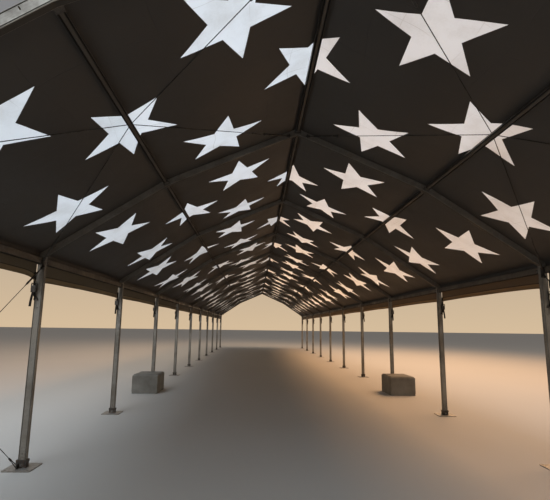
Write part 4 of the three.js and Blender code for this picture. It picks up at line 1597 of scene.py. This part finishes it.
def ribbon(path, first_wide, last_wide, width, thickness):
    """Flat strap along a path, whose width turns from one direction to another on the way."""
    rings = []
    for index, point in enumerate(path):
        before = path[max(index - 1, 0)]
        after = path[min(index + 1, len(path) - 1)]
        along = (after - before).normalized()
        direction = first_wide.lerp(last_wide, index / (len(path) - 1))
        wide = (direction - along * direction.dot(along)).normalized() * width / 2
        thick = along.cross(wide).normalized() * thickness / 2
        rings.append([point - wide - thick, point + wide - thick, point + wide + thick, point - wide + thick])
    return skin(rings)


def webbing():
    """Dark woven polyester webbing with a deep weave and lighter, worn patches."""
    material, tree = new_material("strap_webbing")
    coordinates = add_node(tree, "ShaderNodeTexCoord")
    cloth = coordinates.outputs["UV"]
    weave = place_group(tree, WEAVE, {"Cloth": cloth, "Threads Per Metre": 900.0})["Height"]
    wear = grime_on(tree, coordinates.outputs["Object"], 30.0, 0.4)["Mask"]
    shader = add_node(tree, "ShaderNodeBsdfPrincipled", {
        "Base Color": mixed_colour(tree, wear, WEBBING_COLOUR, WEBBING_WORN),
        "Roughness": 0.9, "Specular IOR Level": 0.15,
        "Normal": bumped(tree, weave, 0.6, 0.0008)})
    finish_material(tree, shader.outputs[0])
    return material


def ratchet(form, middle, away):
    """Ratchet buckle: two side plates, a drum, two bars and a folded-over handle on the bay's side."""
    half_length = RATCHET["length"] / 2
    half_width = RATCHET["width"] / 2
    depth = RATCHET["depth"]

    def across_ratchet(outline, first, last):
        """Prism of an outline, given in shares of depth and half length, between two offsets across."""
        return skin([[Vector((middle.x + x, middle.y + away * depth * y, middle.z + half_length * z))
                      for y, z in outline] for x in (first, last)])

    cheek = [(-0.5, -1.0), (0.3, -1.0), (0.5, -0.4), (0.5, 0.55), (0.2, 1.0), (-0.5, 1.0)]
    for sign in (-1, 1):
        form.add(across_ratchet(cheek, sign * half_width, sign * (half_width - RATCHET["plate"])), slot=1)
    drum = rod(half_width, RATCHET["drum_radius"], 12)
    for share, size in ((0.25, 1.0), (-0.8, 0.5), (0.85, 0.45)):
        at = Matrix.Translation(middle + Vector((0.0, 0.0, half_length * share)))
        slimmed = Matrix.Diagonal((size, size, 1.0, 1.0))
        form.add(drum, slot=1, smooth=True, place=at @ LYING_ACROSS @ slimmed)
    grip = [(0.5, 0.4), (0.72, 0.3), (0.72, -0.95), (0.5, -0.95)]
    form.add(across_ratchet(grip, -half_width * 0.8, half_width * 0.8), slot=2)


def lug(form, side, face_y, away):
    """Steel fork on the post's face, with a pin through the strap's sewn end."""
    x = side * LUG["x"]
    half = LUG["thickness"] / 2
    low, high = sorted((face_y + away * LUG["gap"], face_y + away * LUG["reach"]))
    for shift in (-LUG["spread"], LUG["spread"]):
        form.add(block((x + shift - half, low, LUG["z"] - LUG["half_height"]),
                       (x + shift + half, high, LUG["z"] + LUG["half_height"])), slot=1)
    pin = rod(LUG["spread"] + LUG["pin_past_side"], LUG["pin_radius"], 10)
    middle = Matrix.Translation((x, face_y + away * LUG["pin_from_face"], LUG["z"]))
    form.add(pin, slot=1, place=middle @ LYING_ACROSS)


def strap_set(form, side, post_y, away, chance):
    """One corner's strap: from the valance to the ratchet, on to the lug below it, and the loose tail."""
    y = post_y + away * (PROFILE_HALF_WIDTH + RATCHET["from_post"])
    outside = Vector((side * 1.0, 0.0, 0.0))
    along_tent = Vector((0.0, 1.0, 0.0))
    sewn = Vector((side * CLOTH_X, y + away * STRAP_PATCH["aside"], STRAP_TOP_Z))
    patch = [sewn, sewn - Vector((0.0, 0.0, STRAP_PATCH["length"]))]
    form.add(ribbon(patch, along_tent, along_tent, STRAP_PATCH["width"], STRAP_PATCH["thickness"]))
    middle = Vector((side * RATCHET["x"], y, RATCHET["top"] - RATCHET["length"] / 2))
    drum = middle + Vector((0.0, 0.0, RATCHET["length"] * DRUM_ABOVE_MIDDLE))
    upper = [patch[1].lerp(drum, step / 4) for step in range(5)]
    form.add(ribbon(upper, outside, outside, STRAP_WIDTH, STRAP_THICKNESS))
    ratchet(form, middle, away)
    bottom = middle - Vector((0.0, 0.0, RATCHET["length"] * STRAP_END_BELOW_MIDDLE))
    held = Vector((side * LUG["x"], post_y + away * (PROFILE_HALF_WIDTH + LUG["pin_from_face"]), LUG["z"]))
    lower = [bottom.lerp(held, step / 3) for step in range(4)]
    form.add(ribbon(lower, outside, outside, STRAP_WIDTH, STRAP_THICKNESS))
    lug(form, side, post_y + away * PROFILE_HALF_WIDTH, away)
    lean = Vector((chance.uniform(*TAIL_LEAN_OUT) * side, away * chance.uniform(*TAIL_LEAN_ALONG), 0.0))
    start = bottom + Vector((0.0, away * TAIL_FROM_STRAP, 0.0))
    tail = []
    for step in range(TAIL_STEPS + 1):
        share = step / TAIL_STEPS
        drop = Vector((0.0, 0.0, -TAIL_LENGTH * share))
        tail.append(start + drop + lean * TAIL_LENGTH * share * (1.2 - 0.5 * share))
    form.add(ribbon(tail, outside, outside, STRAP_WIDTH, STRAP_THICKNESS))


STRAP_WEBBING = webbing()
RATCHET_STEEL = steel(
    "ratchet_steel", clean=(0.055, 0.046, 0.038, 1.0), rust=(0.09, 0.05, 0.03, 1.0), rust_amount=0.25)
RATCHET_GRIP = steel(
    "ratchet_grip", clean=(0.034, 0.028, 0.023, 1.0), rust=(0.05, 0.04, 0.03, 1.0), rust_amount=0.2)
chance = random.Random(11)
for word, side in SIDES.items():
    form = Form()
    for index in range(BAYS + 1):
        if index > 0:
            strap_set(form, side, frame_y(index), -1, chance)
        if index < BAYS:
            strap_set(form, side, frame_y(index), 1, chance)
    name = f"valance_straps_{word}"
    declare(put_in_scene(name, form.mesh(name, [STRAP_WEBBING, RATCHET_STEEL, RATCHET_GRIP])), "strap")


# Concrete ballast blocks
# Two cast blocks stand on the front of the fourth frame's foot plates. They are plain, grey and square-cut,
# with a chamfer round the top, chipped edges, small air holes in the faces and a rebate over the plate.
BLOCK_HALF = (0.285, 0.375)
BLOCK_HEIGHT = 0.42
BLOCK_CHAMFER = 0.03
BLOCK_FRAME = 3
BLOCK_FROM_COLLAR = 0.0003
REBATE_PAST_BOTTOM = 0.02
REBATE_END = 0.5
BLOCK_STEP = 0.02
BLOCK_HALVINGS = 5
BLOCK_ROUGHNESS = 0.0012
BUMPS_PER_METRE = 9.0
CHIP_DEPTH = 0.0225
CHIP_REACH = 0.035
CHIPS_PER_METRE = 17.0
CAST_LIGHT = (0.235, 0.225, 0.2, 1.0)
CAST_DARK = (0.17, 0.16, 0.14, 1.0)
CAST_DIRT = (0.1, 0.088, 0.07, 1.0)
PORE_PAINTED_SHADE_COLOUR = (0.05, 0.045, 0.04, 1.0)


def concrete():
    """Cast concrete, clouded light and dark, with dirt, grit and small air holes in patches; the holes get
    painted shade.
    """
    material, tree = new_material("block_concrete")
    place = add_node(tree, "ShaderNodeTexCoord").outputs["Object"]
    grime = grime_on(tree, place, 4.0, 0.5)["Mask"]
    clouds = noise_texture(tree, place, 2.4, 6.0)
    grit = noise_texture(tree, place, 140.0, 3.0)
    pores = add_node(tree, "ShaderNodeTexVoronoi", {"Vector": place, "Scale": 46.0}).outputs["Distance"]
    pore = math_node(tree, "MULTIPLY", ramp(tree, pores, 0.12, 0.05), ramp(tree, clouds, 0.45, 0.6))
    cast = mixed_colour(tree, clouds, CAST_LIGHT, CAST_DARK)
    dirty = mixed_colour(tree, math_node(tree, "MULTIPLY", grime, 0.6), cast, CAST_DIRT)
    height = math_node(tree, "SUBTRACT", grit, math_node(tree, "MULTIPLY", pore, 2.0))
    shader = add_node(tree, "ShaderNodeBsdfPrincipled", {
        # Painted shade: the small air holes are coloured near black for the shade in them.
        "Base Color": mixed_colour(tree, pore, dirty, PORE_PAINTED_SHADE_COLOUR), "Roughness": 0.88,
        "Normal": bumped(tree, height, 0.5, 0.002)})
    finish_material(tree, shader.outputs[0])
    return material


def block_mesh():
    """Block with rough faces and chipped edges, from a fine grid over its chamfered shape."""
    cube = bmesh.new()
    bmesh.ops.create_cube(cube, size=1.0)
    for vertex in cube.verts:
        vertex.co = Vector((vertex.co.x * 2 * BLOCK_HALF[0], vertex.co.y * 2 * BLOCK_HALF[1],
                            (vertex.co.z + 0.5) * BLOCK_HEIGHT))
    top = [edge for edge in cube.edges if all(v.co.z > BLOCK_HEIGHT - 1e-4 for v in edge.verts)]
    bmesh.ops.bevel(cube, geom=top, offset=BLOCK_CHAMFER, segments=1, affect="EDGES")
    for _ in range(BLOCK_HALVINGS):
        long_edges = [edge for edge in cube.edges if edge.calc_length() > BLOCK_STEP * 1.6]
        if long_edges:
            bmesh.ops.subdivide_edges(cube, edges=long_edges, cuts=1, use_grid_fill=True)
    bmesh.ops.triangulate(cube, faces=[face for face in cube.faces if len(face.verts) > 4])
    for vertex in cube.verts:
        place = vertex.co.copy()
        near_x = BLOCK_HALF[0] - abs(place.x)
        near_y = BLOCK_HALF[1] - abs(place.y)
        near_z = min(place.z, BLOCK_HEIGHT - place.z)
        closeness = sorted((near_x, near_y, near_z))[1]
        edge_share = max(0.0, 1.0 - closeness / CHIP_REACH)
        chip = max(0.0, noise.noise(place * CHIPS_PER_METRE) - 0.1) * CHIP_DEPTH * edge_share
        rough = BLOCK_ROUGHNESS * (noise.noise(place * BUMPS_PER_METRE) - 1.0)
        towards = (Vector((0.0, 0.0, BLOCK_HEIGHT / 2)) - place).normalized()
        pull = towards * (chip - rough)
        if place.z < 1e-4:
            pull.z = 0.0
        vertex.co = place + pull
    mesh = bpy.data.meshes.new("block")
    cube.to_mesh(mesh)
    cube.free()
    mesh.materials.append(BLOCK_CONCRETE)
    rebate = Form()
    front = BLOCK_HALF[1] + COLLAR_HALF[1] - PLATE_HALF - JOINT_GAP
    half = PLATE_HALF + JOINT_GAP
    rebate.add(block((-half, front, -REBATE_PAST_BOTTOM), (half, REBATE_END, PLATE_THICKNESS + JOINT_GAP)))
    return drilled("block", mesh, rebate.mesh("rebate", []))


BLOCK_CONCRETE = concrete()
block_shape = block_mesh()
block_y = frame_y(BLOCK_FRAME) - COLLAR_HALF[1] - BLOCK_HALF[1] - BLOCK_FROM_COLLAR
for word, side in SIDES.items():
    turn = Matrix.Identity(4) if side < 0 else Matrix.Diagonal((-1.0, 1.0, 1.0, 1.0))
    shape = block_shape.copy()
    shape.transform(turn)
    if side > 0:
        shape.flip_normals()
    piece = moved_copy(f"concrete_block_{word}", shape, Matrix.Translation((side * POST_X, block_y, 0.0)))
    declare(piece, "concrete", f"ballast_block_{word}")
